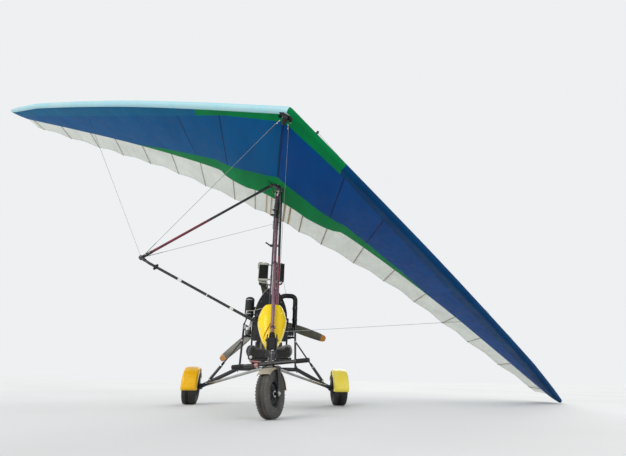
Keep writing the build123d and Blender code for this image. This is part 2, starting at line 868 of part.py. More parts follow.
case_z = deck_z + bearer_d / 2
case_top = case_z + case_h
cylinder_ys = (cylinder_mid_y - cylinder_pitch / 2, cylinder_mid_y + cylinder_pitch / 2)
head_top = case_top + cylinder_h + head_h


def crankcase():
    # Cast case with a split flange round its middle and the starter's round cover in front
    half = case_w / 2
    body = block((-half, case_front_y, case_z), (half, case_back_y, case_top))
    body = chamfer(body.edges().filter_by(Axis.Y), case_edge)
    middle_z = case_z + case_h / 2
    wide = half + flange_reach
    flange = block((-wide, case_front_y, middle_z - flange_t / 2), (wide, case_back_y, middle_z + flange_t / 2))
    cover = rod((0, case_front_y - starter_t, middle_z), (0, case_front_y, middle_z), starter_d)
    cap = rod((0, case_front_y - starter_t, middle_z), (0, case_front_y - starter_t / 2, middle_z), starter_d)
    rimmed = cover - (cap - rod((0, case_front_y - starter_t, middle_z), (0, case_front_y, middle_z),
                                0.7 * starter_d))
    return body + flange + rimmed


def cylinders():
    # Two finned barrels with their heads, one behind the other
    piece = None
    w = cylinder_w / 2
    l = cylinder_l / 2
    for y in cylinder_ys:
        barrel = block((-w, y - l, case_top), (w, y + l, case_top + cylinder_h))
        barrel = chamfer(barrel.edges().filter_by(Axis.Z), 24)
        for i in range(fin_count):
            z = case_top + 26 + i * (cylinder_h - 40) / fin_count
            fin = block((-w - fin_reach, y - l - fin_reach, z), (w + fin_reach, y + l + fin_reach, z + fin_t))
            barrel = barrel + fin
        head = block((-w + 8, y - l + 8, case_top + cylinder_h), (w - 8, y + l - 8, head_top))
        head = chamfer(head.faces().sort_by(Axis.Z)[-1].edges(), 14)
        barrel = barrel + head
        piece = barrel if piece is None else piece + barrel
    return piece


gearbox_y = case_back_y + gearbox_l
boss_end = gearbox_y + 48.0


def gearbox():
    # Housing from the crankshaft up to the propeller shaft
    low_z = case_z + 52
    section = make_hull([
        *(Pos(0, prop_axis_z) * Circle(gearbox_w / 2)).edges(),
        *(Pos(0, low_z + 20) * Circle(gearbox_w / 2 - 8)).edges(),
    ])
    box = extrude(Plane.XZ * section, -gearbox_l)
    box = Pos(0, case_back_y, 0) * box
    boss = rod((0, gearbox_y, prop_axis_z), (0, boss_end, prop_axis_z), nose_boss_d)
    bore = rod((0, gearbox_y - 40, prop_axis_z), (0, boss_end + 1, prop_axis_z), prop_shaft_d + 2 * bearing_play)
    return (box + boss) - bore


hub_front = prop_y - hub_plate_t / 2


def prop_hub():
    plate = rod((0, hub_front, prop_axis_z), (0, hub_front + hub_plate_t, prop_axis_z), hub_plate_d)
    shaft = rod((0, gearbox_y - 38, prop_axis_z), (0, hub_front, prop_axis_z), prop_shaft_d)
    flange = rod((0, boss_end + 5, prop_axis_z), (0, hub_front, prop_axis_z), hub_plate_d * 0.62)
    return plate + shaft + flange


# radius, chord, thickness, pitch angle
blade_rows = (
    (hub_plate_d / 2, 62.0, 30.0, 52.0),
    (140.0, 76.0, 28.0, 46.0),
    (210.0, 92.0, 24.0, 40.0),
    (350.0, 106.0, 19.0, 30.0),
    (500.0, 112.0, 15.0, 22.0),
    (660.0, 104.0, 11.0, 18.0),
    (765.0, 90.0, 8.5, 15.0),
    (blade_radius, 62.0, 6.0, 14.0),
)


def blade_section(row):
    # Flat-bottomed section, standing at its radius along Z and turned by its pitch
    r, chord, thick, pitch = row
    outline = ((-0.5, 0.0), (-0.2, -0.3), (0.2, -0.3), (0.5, 0.0), (0.25, 0.55), (-0.15, 0.7))
    turn = radians(pitch)
    points = []
    for u, v in outline:
        x = u * chord
        y = v * thick
        points.append((x * cos(turn) - y * sin(turn), x * sin(turn) + y * cos(turn), r))
    return points


def blade():
    # The shank goes on into the hub and is cut to it
    root = blade_rows[0]
    rows = [(root[0] - 20.0, *root[1:]), *blade_rows]
    hub = rod((0, -hub_plate_t, 0), (0, hub_plate_t, 0), hub_plate_d)
    return coped(facets([blade_section(row) for row in rows]), hub)


def prop_blades():
    one = blade()
    piece = None
    for angle in blade_angles:
        turned = Location((0, prop_y, prop_axis_z), (0, 90 - angle, 0)) * one
        piece = turned if piece is None else piece + turned
    return piece


def eased(before, corner_at, after, reach, count):
    # Points of a rounded corner in short straight runs, from reach before it to reach after it
    a = between(corner_at, before, reach / distance(corner_at, before))
    b = between(corner_at, after, reach / distance(corner_at, after))
    shares = [k / count for k in range(count + 1)]
    return [between(between(a, corner_at, t), between(corner_at, b, t), t) for t in shares]


def exhaust():
    # Leaves the heads sideways, turns over and comes down beside the engine, open at its end
    port = (cylinder_w / 2 - 20, exhaust_y, exhaust_port_z)
    rise = (exhaust_rise_x, exhaust_y, exhaust_top_z)
    turn = (exhaust_x, exhaust_y, exhaust_top_z)
    end = (exhaust_x, exhaust_y, exhaust_end_z)
    points = [port, *eased(port, rise, turn, exhaust_bend / 2, 2), *eased(rise, turn, end, exhaust_bend, 4), end]
    pipe = coped(bent_tube(points, exhaust_d, exhaust_wall), cylinders())
    # Clamp that holds its lower end to the post
    clamp_z = exhaust_end_z + 26
    share = (clamp_z - post_foot[2]) / (post_top[2] - post_foot[2])
    post_at = between(post_foot, post_top, share)
    arm = block((post_at[0] - 9, 0, clamp_z - 12), (post_at[0] + 9, exhaust_y, clamp_z + 12))
    post = rod(post_foot, post_top, post_d)
    bore = rod((exhaust_x, exhaust_y, exhaust_end_z - 5), (exhaust_x, exhaust_y, exhaust_top_z), exhaust_d)
    return pipe + coped(arm, post, bore)


def round_points(x, y, z, r, count):
    step = 2 * pi / count
    return [(x + r * cos(i * step), y + r * sin(i * step), z) for i in range(count)]


def airbox():
    low, high = airbox_z
    r = airbox_d / 2
    share, slope = airbox_end
    shape = ((low, share), (low + slope * r, 1.0), (high - slope * r, 1.0), (high, share))
    can = facets([round_points(airbox_x, airbox_y, z, r * k, airbox_sides) for z, k in shape])
    # Foot down onto the post's top
    post_at = on_side(post_top, -1)
    stand = rod((post_at[0], post_at[1], post_top_z), (airbox_x, airbox_y, low + r), airbox_stand_d)
    return largest(can + stand - rod(on_side(post_foot, -1), post_at, post_d))


def carburettors():
    piece = None
    r = airbox_d / 2
    can = block((airbox_x - r, airbox_y - r, airbox_z[0]), (airbox_x + r, airbox_y + r, airbox_z[1]))
    side_x = -cylinder_w / 2
    for y in cylinder_ys:
        y_box = airbox_y + (y - cylinder_mid_y) * carb_splay
        throat = rod((side_x, y, carb_z), (airbox_x, y_box, carb_z), carb_d * carb_throat_share)
        bowl_x = side_x - carb_reach
        bowl = rod((bowl_x, y, carb_z + carb_bowl[0]), (bowl_x, y, carb_z + carb_bowl[1]), carb_d)
        body = coped(throat + bowl, can, cylinders())
        piece = body if piece is None else piece + body
    return piece


def radiators():
    piece = None
    low, high = radiator_z
    half = radiator_w / 2
    for x in radiator_x:
        core = block((x - half, radiator_y - radiator_t / 2, low), (x + half, radiator_y + radiator_t / 2, high))
        inner = half - radiator_rim
        for side in (-1, 1):
            y0, y1 = sorted((radiator_y + side * (radiator_t / 2 - radiator_recess),
                             radiator_y + side * (radiator_t / 2 + 1)))
            core = core - block((x - inner, y0, low + radiator_rim), (x + inner, y1, high - radiator_rim))
        # Hose necks under the lower tank
        for side in (-1, 1):
            at = x + side * (half - radiator_neck_d)
            core = core + rod((at, radiator_y, low - radiator_neck), (at, radiator_y, low + 1), radiator_neck_d)
        piece = core if piece is None else piece + core
    x0 = radiator_x[0] + half - 1
    x1 = radiator_x[1] - half + 1
    for z in (low + radiator_bar_inset, high - radiator_bar_inset):
        piece = piece + rod((x0, radiator_y, z), (x1, radiator_y, z), radiator_bar_d)
    # Legs down onto the heads
    for x in (-radiator_leg_x, radiator_leg_x):
        leg_y = cylinder_ys[1] - radiator_leg_lead
        piece = piece + rod((x, leg_y, head_top), (x * radiator_leg_splay, radiator_y, low + 4), radiator_bar_d)
    top = block((-200, -300, 0), (200, 300, head_top))
    return largest(piece - top)


def fuel_tank():
    low = (-tank_half, tank_y[0], beam_top)
    high = (tank_half, tank_y[1], tank_z_top)
    tank = block(low, high)
    tank = chamfer(tank.edges(), tank_edge)
    filler_x = -tank_half + filler_inset
    filler_y = (tank_y[0] + tank_y[1]) / 2
    filler = rod((filler_x, filler_y, tank_z_top - 2), (filler_x, filler_y, tank_z_top + filler_h), filler_d)
    return tank + filler


# Hang bracket: collar on the keel, cheeks and pin over the mast's tongue (bracket frame)

def hang_bracket():
    r_in = keel_d / 2 + collar_play
    r_out = r_in + collar_wall
    half = collar_length / 2
    body = rod((0, -half, 0), (0, half, 0), 2 * r_out)
    cheek_in = tongue_w / 2 + bracket_play
    cheek_out = cheek_in + bracket_cheek_t
    for side in (-1, 1):
        x0, x1 = sorted((side * cheek_in, side * cheek_out))
        cheek = block((x0, -half, -hang_drop), (x1, half, 0))
        foot = rod((x0, 0, -hang_drop), (x1, 0, -hang_drop), 2 * half - 12)
        body = body + cheek + foot
    slot = rod((-cheek_in, 0, -hang_drop), (cheek_in, 0, -hang_drop), tongue_d + bracket_clear)
    pin_end = cheek_out + bracket_pin_beyond
    pin = rod((-pin_end, 0, -hang_drop), (pin_end, 0, -hang_drop), hang_pin_d)
    bore = rod((0, -half - 1, 0), (0, half + 1, 0), 2 * r_in)
    return ((body - slot) - bore) + pin


# Wing

keel_line = ((0, keel_front, 0), (0, keel_tail, 0))


def keel():
    piece = tube(*keel_line, keel_d, keel_wall)
    # Stop rings each side of the hang bracket's collar
    free = collar_length / 2 + stop_ring_gap
    for y in (-free - stop_ring_t, free):
        ring = rod((0, y, 0), (0, y + stop_ring_t, 0), keel_d + 2 * stop_ring_wall)
        ring = ring - rod((0, y - 1, 0), (0, y + stop_ring_t + 1, 0), keel_d)
        piece = piece + ring
    tail = (0, keel_tail, 0)
    sleeve_start = (0, keel_tail - tail_sleeve_length, 0)
    sleeve = rod(sleeve_start, tail, tail_sleeve_d) - rod(sleeve_start, tail, keel_d)
    return piece + sleeve


def rib_leading(row):
    return (row[0], row[1], row[2])


nose_share = nose_half / wing_ribs[1][0]
nose_tube = between(rib_leading(wing_ribs[0]), rib_leading(wing_ribs[1]), nose_share)


def leading_points():
    return [nose_tube] + [rib_leading(row) for row in wing_ribs[1:]]


def leading_edge():
    return bent_tube(leading_points(), leading_d, leading_wall)


def nose_plate():
    # Plate on the keel's front end with the leading edges bolted on top of it
    z0 = keel_d / 2
    z1 = nose_tube[2] - leading_d / 2 - 4.0
    outline = Polyline((-46, keel_front - 10), (46, keel_front - 10), (190, keel_front + 96),
                       (60, keel_front + 190), (-60, keel_front + 190), (-190, keel_front + 96), close=True)
    plate = Pos(0, 0, z0) * extrude(make_face(outline), max(z1 - z0, plate_t))
    tubes = leading_outer()
    return largest(plate - tubes - flip(tubes))


def leading_outer():
    points = [nose_tube] + [rib_leading(row) for row in wing_ribs[1:3]]
    return rod(points[0], points[1], leading_d) + rod(points[1], points[2], leading_d)


# Camber of the upper skin: share of the way from crest to leading edge or rear edge, share of the rise
camber_front = ((0.0, 0.0), (0.22, 0.42), (0.55, 0.82))
camber_rear = ((0.0, 1.0), (0.5, 0.8), (1.0, 0.0))


def upper_rib(row):
    x, le_y, le_z, crest_y, crest_z, under_y, under_z, te_y, te_z = row
    z = le_z + leading_d / 2 + seat_gap
    low = []
    for along, rise in camber_front:
        low.append((le_y + (crest_y - le_y) * along, z + (crest_z - z) * rise))
    for along, rise in camber_rear:
        low.append((crest_y + (under_y - crest_y) * along, under_z + (crest_z - under_z) * rise))
    low.append((te_y, te_z))
    return [(x, y, h) for y, h in low]


def under_rib(x, front_y, front_z, rear_y, rear_z):
    return [(x, front_y, front_z - skin_t), (x, rear_y, rear_z - skin_t)]


def kingpost_room():
    r = kingpost_d / 2 + kingpost_hole_gap
    return rod((0, kingpost_y, 0), (0, kingpost_y, 400), 2 * r)


def sail_upper():
    cloth = skin([upper_rib(row) for row in wing_ribs], skin_t)
    return coped(cloth, kingpost_room())


def under_front_z(row):
    # The skin runs up and aft from a line just under the leading edge tube, touching it
    rise = (row[6] - row[2]) / (row[5] - row[1])
    reach = leading_d / 2 + seat_gap + twist_play
    return row[2] - reach * sqrt(1 + (sweep_stretch * rise) ** 2)


def sail_under():
    first = wing_ribs[0]
    ribs = [under_rib(first[0], *under_root)]
    for row in wing_ribs[1:]:
        ribs.append(under_rib(row[0], row[1], under_front_z(row), row[5], row[6] - seat_gap))
    notch = block((-notch_half, notch_y[0], -300), (notch_half, notch_y[1], 40))
    return coped(skin(ribs, skin_t), notch)


def kingpost():
    post = rod((0, kingpost_y, 0), (0, kingpost_y, kingpost_height), kingpost_d)
    cap = rod((0, kingpost_y, kingpost_height + kingpost_cap[0]), (0, kingpost_y, kingpost_height + kingpost_cap[1]),
              kingpost_d + 2 * kingpost_cap_wall)
    keel_solid = rod(*keel_line, keel_d)
    return coped(post, keel_solid) + cap


def apex_bracket():
    # Saddle under the keel with an ear for each upright
    x, y, z = upright_top
    saddle = block((-keel_d / 2 - 10, y - 32, -keel_d / 2 - 14), (keel_d / 2 + 10, y + 32, 0))
    bridge = block((-x - 16, y - 24, z + upright_d / 2), (x + 16, y + 24, z + upright_d / 2 + 16))
    piece = saddle + bridge
    for side in (-1, 1):
        ear = block((side * x - 15, y - 9, z - 22), (side * x + 15, y + 9, z + upright_d / 2))
        piece = piece + ear
    keel_solid = rod(*keel_line, keel_d)
    return coped(piece, keel_solid, upright_solid(1), upright_solid(-1))


def upright_solid(side):
    return rod(on_side(upright_top, side), on_side(corner, side), upright_d)


def upright(side):
    piece = tube(on_side(upright_top, side), on_side(corner, side), upright_d, upright_wall)
    return coped(piece, corner_block(side))


def corner_block(side):
    # Knuckle that joins upright, base bar and stays
    x, y, z = on_side(corner, side)
    return rod((x, y - corner_half, z), (x, y + corner_half, z), corner_d)


def base_bar_points():
    return [on_side(corner, -1), on_side(bar_bend, -1), bar_bend, corner]


def base_bar():
    piece = bent_tube(base_bar_points(), bar_d, bar_wall)
    return coped(piece, corner_block(1), corner_block(-1))


def corner_fittings():
    return corner_block(1) + corner_block(-1)


def stay(p, q):
    # Six-sided, since there are many of them
    return axis_plane(p, q) * extrude(RegularPolygon(stay_d / 2, 6), distance(p, q))


def front_stays(plate):
    piece = None
    for side in (-1, 1):
        top = (side * (keel_d / 2 + 9), keel_front + 40, keel_d / 2)
        one = coped(stay(top, on_side(corner, side)), corner_block(side), upright_solid(side), plate)
        piece = one if piece is None else piece + one
    return piece


def rear_stays():
    piece = None
    keel_solid = rod(*keel_line, keel_d)
    for side in (-1, 1):
        run = stay(on_side(rear_stay_end, side), on_side(corner, side))
        one = coped(run, corner_block(side), upright_solid(side), keel_solid)
        piece = one if piece is None else piece + one
    return piece


def skin_z_near(x, y, upper):
    # Height just inside the wing above or below a point of its plan
    rows = [row for row in wing_ribs if row[0] <= x]
    a = rows[-1]
    b = wing_ribs[len(rows)]
    t = (x - a[0]) / (b[0] - a[0])
    mid = [a[i] + (b[i] - a[i]) * t for i in range(9)]
    if upper:
        return mid[4] - 30
    share = (y - mid[1]) / (mid[5] - mid[1])
    low = mid[2] - leading_d / 2
    return low + (mid[6] - low) * share + 12


def side_stays(under_left):
    x, y = side_stay_end
    z = skin_z_near(x, y, False)
    one = coped(stay(corner, (x, y, z)), corner_block(1), upright_solid(1), under_left)
    return one + flip(one)


def upper_stays(upper_left, plate):
    # From the kingpost's head to the nose, the tail and both wings
    head = (0, kingpost_y, kingpost_height + 12)
    cap = rod((0, kingpost_y, kingpost_height - 20), (0, kingpost_y, kingpost_height + 27), kingpost_d + 10)
    keel_solid = rod(*keel_line, keel_d)
    upper_right = flip(upper_left)
    x, y = side_stay_end
    z = skin_z_near(x, y, True)
    side = coped(stay(head, (x, y, z)), cap, upper_left)
    rear = coped(stay(head, (0, keel_tail - 104, keel_d / 2 - 4)), cap, keel_solid)
    nose_end = (0, keel_front + 70, keel_d / 2)
    front = coped(stay(head, nose_end), cap, plate, upper_left, upper_right)
    return side + flip(side) + rear + front


# Putting it together

def placed(shape, frame):
    return frame * shape


def wing_nodes():
    upper = sail_upper()
    under = sail_under()
    plate = nose_plate()
    leading = leading_edge()
    return {
        "keel_tube": keel(),
        "nose_plate": plate,
        "leading_edge_left": leading,
        "leading_edge_right": flip(leading),
        "sail_upper_left": upper,
        "sail_upper_right": flip(upper),
        "sail_under_left": under,
        "sail_under_right": flip(under),
        "kingpost": kingpost(),
        "apex_bracket": apex_bracket(),
        "upright_left": upright(1),
        "upright_right": upright(-1),
        "base_bar": base_bar(),
        "corner_fittings": corner_fittings(),
        "front_stays": front_stays(plate),
        "side_stays": side_stays(under),
        "rear_stays": rear_stays(),
        "upper_stays": upper_stays(upper, plate),
    }


def fork_nodes():
    return {"fork": fork(), "foot_bar": foot_bar(), "front_mudguard": front_mudguard()}


def trike_nodes():
    nodes = {
        "beam": beam(),
        "axle_tube": axle_tube(),
        "gear_leg_left": gear_leg(1),
        "gear_leg_right": gear_leg(-1),
        "drag_strut_left": drag_strut(),
        "drag_strut_right": flip(drag_strut()),
        "shock_struts": shock_struts(),
        "spat_left": spat(1),
        "spat_right": spat(-1),
        "mast": mast(),
        "mast_bracket": mast_bracket(),
        "front_strut": front_strut(),
        "strut_bracket": strut_bracket(),
        "seat_frame": seat_frame(),
        "seat_cushion": seat_cushion(),
        "seat_back": seat_back(),
        "back_panel": back_panel(),
        "pod": pod(),
        "engine_frame": engine_frame(),
        "crankcase": crankcase(),
        "cylinders": cylinders(),
        "gearbox": gearbox(),
        "exhaust": exhaust(),
        "airbox": airbox(),
        "carburettors": carburettors(),
        "radiators": radiators(),
        "fuel_tank": fuel_tank(),
        "prop_hub": prop_hub(),
        "prop_blades": prop_blades(),
    }
    for side, place in rear_wheel_places.items():
        nodes["tyre_rear_" + side] = Pos(*place) * rear_tyre
        nodes["rim_rear_" + side] = Pos(*place) * rear_rim
    return nodes


def all_nodes():
    nodes = trike_nodes()
    nodes["tyre_front"] = placed(front_tyre, fork_turned)
    nodes["rim_front"] = placed(front_rim, fork_turned)
    for name, shape in fork_nodes().items():
        nodes[name] = placed(shape, fork_turned)
    nodes["hang_bracket"] = placed(hang_bracket(), bracket_frame)
    for name, shape in wing_nodes().items():
        nodes[name] = placed(shape, wing_frame)
    return nodes


nodes = all_nodes()
corners = [shape.bounding_box() for shape in nodes.values()]
low_x = min(box.min.X for box in corners)
high_x = max(box.max.X for box in corners)
low_y = min(box.min.Y for box in corners)
high_y = max(box.max.Y for box in corners)
trike_origin = (-(low_x + high_x) / 2, -(low_y + high_y) / 2, 0.0)

os.makedirs("parts", exist_ok=True)
for name, shape in nodes.items():
    export_step(Pos(*trike_origin) * shape, "parts/" + name + ".step")
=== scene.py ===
import bpy
import bmesh
import json
from math import atan, atan2, cos, pi, radians, sin, sqrt
from types import SimpleNamespace
from mathutils import Euler, Matrix, Vector

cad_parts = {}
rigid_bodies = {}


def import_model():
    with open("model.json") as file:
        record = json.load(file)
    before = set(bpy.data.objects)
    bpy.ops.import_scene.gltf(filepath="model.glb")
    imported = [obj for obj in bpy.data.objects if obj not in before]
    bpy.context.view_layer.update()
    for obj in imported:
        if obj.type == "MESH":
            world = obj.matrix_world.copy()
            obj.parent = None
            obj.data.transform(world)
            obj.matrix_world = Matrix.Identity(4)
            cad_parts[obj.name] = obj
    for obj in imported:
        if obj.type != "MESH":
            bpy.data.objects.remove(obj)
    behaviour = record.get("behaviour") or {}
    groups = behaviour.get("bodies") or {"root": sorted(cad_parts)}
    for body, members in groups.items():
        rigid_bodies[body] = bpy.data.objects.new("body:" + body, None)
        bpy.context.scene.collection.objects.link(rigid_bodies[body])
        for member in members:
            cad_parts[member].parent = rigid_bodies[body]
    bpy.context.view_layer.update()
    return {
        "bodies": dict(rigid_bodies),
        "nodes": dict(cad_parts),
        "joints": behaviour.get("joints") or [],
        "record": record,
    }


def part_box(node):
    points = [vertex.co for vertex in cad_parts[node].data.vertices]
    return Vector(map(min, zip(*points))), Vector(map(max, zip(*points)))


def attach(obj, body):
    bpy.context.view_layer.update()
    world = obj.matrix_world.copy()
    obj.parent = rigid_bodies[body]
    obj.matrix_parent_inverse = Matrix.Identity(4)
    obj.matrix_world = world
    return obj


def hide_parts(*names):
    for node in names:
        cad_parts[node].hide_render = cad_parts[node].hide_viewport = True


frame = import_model()
nodes = frame["nodes"]
joints = {j["name"]: j for j in frame["joints"]}
scene = bpy.context.scene
scene.view_settings.view_transform = "Standard"


def moved(x, y, z):
    return Matrix.Translation((x, y, z))


def turned(degrees, axis):
    return Matrix.Rotation(radians(degrees), 4, axis)


def upright(x, y, z=0.0):
    """Frame at a place in which a lathe's axis points up."""
    return moved(x, y, z) @ turned(-90, "Y")


def around(count, start=0):
    """Angles of evenly spaced places on a circle, start given in spacings."""
    return [2 * pi * (k + start) / count for k in range(count)]


# Frames. The trike frame's origin is on the ground under the middle of the rear axle.

wheel_l = Vector(joints["rear_wheel_left_spin"]["pos_m"])
wheel_r = Vector(joints["rear_wheel_right_spin"]["pos_m"])
origin = (wheel_l + wheel_r) / 2
origin.z = 0.0
roll_axis = Vector(joints["wing_roll"]["axis"])
wing_pitch = atan2(-roll_axis.z, -roll_axis.y)
wing_roll = radians(joints["wing_roll"]["range_deg"][1] / 2)
keel_point = Vector(joints["wing_roll"]["pos_m"])
TRIKE = Matrix.Translation(origin)
BRACKET = Matrix.Translation(keel_point) @ Matrix.Rotation(wing_pitch, 4, "X")
WING = BRACKET @ Matrix.Rotation(wing_roll, 4, "Y")
steer = Vector(joints["steering"]["axis"])
rake = atan2(steer.y, steer.z)
FORK0 = Matrix.Translation(Vector(joints["front_wheel_spin"]["pos_m"])) @ Matrix.Rotation(-rake, 4, "X")
FORK = FORK0 @ turned(-28.0, "Z")
# Top of the beam, the mast's run forward for each metre up, and where the two cylinders stand
BEAM_TOP = 0.46
MAST_RUN = 0.2907
CYLINDERS_Y = (-0.064, 0.104)


# Camera, in the trike frame
LENS_MM = 22.308
CAMERA_AT = (-0.09704, -4.94892, 0.28819)
CAMERA_TURN = (111.2351, -0.7754, -7.4262)


def put_in_scene(name, data):
    obj = bpy.data.objects.new(name, data)
    scene.collection.objects.link(obj)
    return obj


def make_camera():
    cam = bpy.data.cameras.new("camera")
    cam.sensor_width = 36.0
    cam.lens = LENS_MM
    cam.clip_start = 0.05
    cam.clip_end = 200.0
    obj = put_in_scene("camera", cam)
    turn = Euler([radians(a) for a in CAMERA_TURN], "XYZ")
    obj.matrix_world = TRIKE @ moved(*CAMERA_AT) @ turn.to_matrix().to_4x4()
    scene.camera = obj


# Material helpers

class Graph:
    """A material's node tree with short calls for the nodes used here."""

    def __init__(self, name):
        self.mat = bpy.data.materials.new(name)
        self.mat.use_nodes = True
        self.tree = self.mat.node_tree
        self.tree.nodes.clear()
        self.out = self.tree.nodes.new("ShaderNodeOutputMaterial")
        self.coord = None

    def node(self, kind, **values):
        n = self.tree.nodes.new(kind)
        for key, value in values.items():
            setattr(n, key, value)
        return n

    def link(self, a, b):
        self.tree.links.new(a, b)

    def put(self, socket, value):
        if isinstance(value, bpy.types.NodeSocket):
            self.link(value, socket)
        elif isinstance(value, tuple) and len(value) == 3 and socket.type == "RGBA":
            socket.default_value = (*value, 1.0)
        else:
            socket.default_value = value

    def place(self):
        if self.coord is None:
            self.coord = self.node("ShaderNodeTexCoord").outputs["Object"]
        return self.coord

    def local(self, matrix):
        """Coordinates in the frame that matrix gives, in metres."""
        loc, rot, _ = matrix.decompose()
        n = self.node("ShaderNodeMapping", vector_type="TEXTURE")
        self.link(self.place(), n.inputs["Vector"])
        n.inputs["Location"].default_value = loc
        n.inputs["Rotation"].default_value = rot.to_euler("XYZ")
        return n.outputs["Vector"]

    def scaled(self, vector, scale):
        n = self.node("ShaderNodeMapping")
        self.link(vector, n.inputs["Vector"])
        n.inputs["Scale"].default_value = scale
        return n.outputs["Vector"]

    def noise(self, scale, detail=3.0, rough=0.55, vector=None, distort=0.0):
        n = self.node("ShaderNodeTexNoise")
        self.link(vector or self.place(), n.inputs["Vector"])
        n.inputs["Scale"].default_value = scale
        n.inputs["Detail"].default_value = detail
        n.inputs["Roughness"].default_value = rough
        n.inputs["Distortion"].default_value = distort
        return n.outputs["Fac"]

    def voronoi(self, scale):
        n = self.node("ShaderNodeTexVoronoi")
        self.link(self.place(), n.inputs["Vector"])
        n.inputs["Scale"].default_value = scale
        return n.outputs["Distance"]

    def wave(self, scale, direction, vector):
        n = self.node("ShaderNodeTexWave", bands_direction=direction)
        self.link(vector, n.inputs["Vector"])
        n.inputs["Scale"].default_value = scale
        return n.outputs["Fac"]

    def ramp(self, fac, low, high, a=(0, 0, 0), b=(1, 1, 1)):
        n = self.node("ShaderNodeValToRGB")
        self.link(fac, n.inputs["Fac"])
        n.color_ramp.elements[0].position = low
        n.color_ramp.elements[1].position = high
        n.color_ramp.elements[0].color = (*a, 1)
        n.color_ramp.elements[1].color = (*b, 1)
        return n.outputs["Color"]

    def math(self, op, a, b, c=None):
        n = self.node("ShaderNodeMath", operation=op)
        self.put(n.inputs[0], a)
        self.put(n.inputs[1], b)
        if c is not None:
            self.put(n.inputs[2], c)
        return n.outputs[0]

    def summed(self, a, share_a, b, share_b):
        """Two heights added up, each with its share."""
        return self.math("MULTIPLY_ADD", a, share_a, self.math("MULTIPLY", b, share_b))

    def scale_to(self, fac, low, high, a, b):
        n = self.node("ShaderNodeMapRange")
        self.put(n.inputs["Value"], fac)
        n.inputs["From Min"].default_value = low
        n.inputs["From Max"].default_value = high
        n.inputs["To Min"].default_value = a
        n.inputs["To Max"].default_value = b
        return n.outputs["Result"]

    def mix(self, fac, a, b):
        n = self.node("ShaderNodeMix", data_type="RGBA")
        self.put(n.inputs[0], fac)
        self.put(n.inputs[6], a)
        self.put(n.inputs[7], b)
        return n.outputs[2]

    def split(self, vector):
        n = self.node("ShaderNodeSeparateXYZ")
        self.link(vector, n.inputs[0])
        return n.outputs

    def bump(self, height, strength, distance, normal=None):
        n = self.node("ShaderNodeBump")
        self.put(n.inputs["Height"], height)
        n.inputs["Strength"].default_value = strength
        n.inputs["Distance"].default_value = distance
        if normal is not None:
            self.link(normal, n.inputs["Normal"])
        return n.outputs["Normal"]

    def surface(self, colour, rough, metal=0.0, normal=None, **more):
        n = self.node("ShaderNodeBsdfPrincipled")
        self.put(n.inputs["Base Color"], colour)
        self.put(n.inputs["Roughness"], rough)
        n.inputs["Metallic"].default_value = metal
        if normal is not None:
            self.link(normal, n.inputs["Normal"])
        for key, value in more.items():
            self.put(n.inputs[key.replace("_", " ")], value)
        self.shader = n
        self.link(n.outputs[0], self.out.inputs["Surface"])
        return self.mat

    def see_through(self, colour, share):
        """Lets part of the light through the cloth, in its own colour."""
        t = self.node("ShaderNodeBsdfTranslucent")
        self.put(t.inputs["Color"], colour)
        m = self.node("ShaderNodeMixShader")
        m.inputs[0].default_value = share
        self.link(self.shader.outputs[0], m.inputs[1])
        self.link(t.outputs[0], m.inputs[2])
        self.link(m.outputs[0], self.out.inputs["Surface"])
        return self.mat


def painted(name, dark, light, rough=(0.32, 0.5), grain=34.0, metal=0.0, coat=0.0, depth=0.0004):
    """Paint or anodising with dust, rubbed places and a fine orange peel."""
    g = Graph(name)
    dust = g.noise(grain * 0.25, 5.0, 0.6)
    fine = g.noise(grain * 9.0, 3.0, 0.6)
    both = g.summed(fine, 0.35, dust, 0.8)
    colour = g.ramp(both, 0.38, 0.78, dark, light)
    r = g.scale_to(dust, 0.3, 0.7, rough[0], rough[1])
    return g.surface(colour, r, metal, g.bump(fine, 0.25, depth), Coat_Weight=coat)


def banded(name, dark, light, join):
    """Anodised tube whose upper length, above a height of the wing frame, is black."""
    g = Graph(name)
    dust = g.noise(9.0, 5.0, 0.6)
    fine = g.noise(300.0, 3.0, 0.6)
    both = g.summed(fine, 0.35, dust, 0.8)
    tint = g.ramp(both, 0.38, 0.78, dark, light)
    black = g.ramp(both, 0.38, 0.78, srgb(14, 14, 16), srgb(44, 42, 44))
    height = g.split(g.local(WING))[2]
    colour = g.mix(g.scale_to(height, join - 0.004, join + 0.004, 0.0, 1.0), tint, black)
    return g.surface(colour, g.scale_to(dust, 0.3, 0.7, 0.26, 0.44), 0.25, g.bump(fine, 0.25, 0.0004),
                     Coat_Weight=0.2)


def brushed(name, dark, light, rough=(0.22, 0.42)):
    """Bare metal with drawn lines and small dull patches."""
    g = Graph(name)
    lines = g.noise(60.0, 4.0, 0.6, g.scaled(g.place(), (1.0, 8.0, 8.0)))
    spots = g.noise(14.0, 4.0, 0.6)
    both = g.math("ADD", g.math("MULTIPLY", lines, 0.5), g.math("MULTIPLY", spots, 0.5))
    colour = g.ramp(both, 0.35, 0.7, dark, light)
    return g.surface(colour, g.scale_to(spots, 0.3, 0.7, *rough), 1.0, g.bump(lines, 0.15, 0.0003))


def cast(name, dark, light, rough=(0.45, 0.7), metal=0.6):
    """Sand-cast alloy: pitted, oily in places."""
    g = Graph(name)
    pits = g.voronoi(420.0)
    grime = g.noise(11.0, 5.0, 0.65)
    fine = g.noise(260.0, 3.0)
    colour = g.mix(g.ramp(grime, 0.42, 0.68), light, dark)
    h = g.math("ADD", g.math("MULTIPLY", pits, 0.6), g.math("MULTIPLY", fine, 0.5))
    return g.surface(colour, g.scale_to(grime, 0.3, 0.7, *rough), metal, g.bump(h, 0.5, 0.0006))


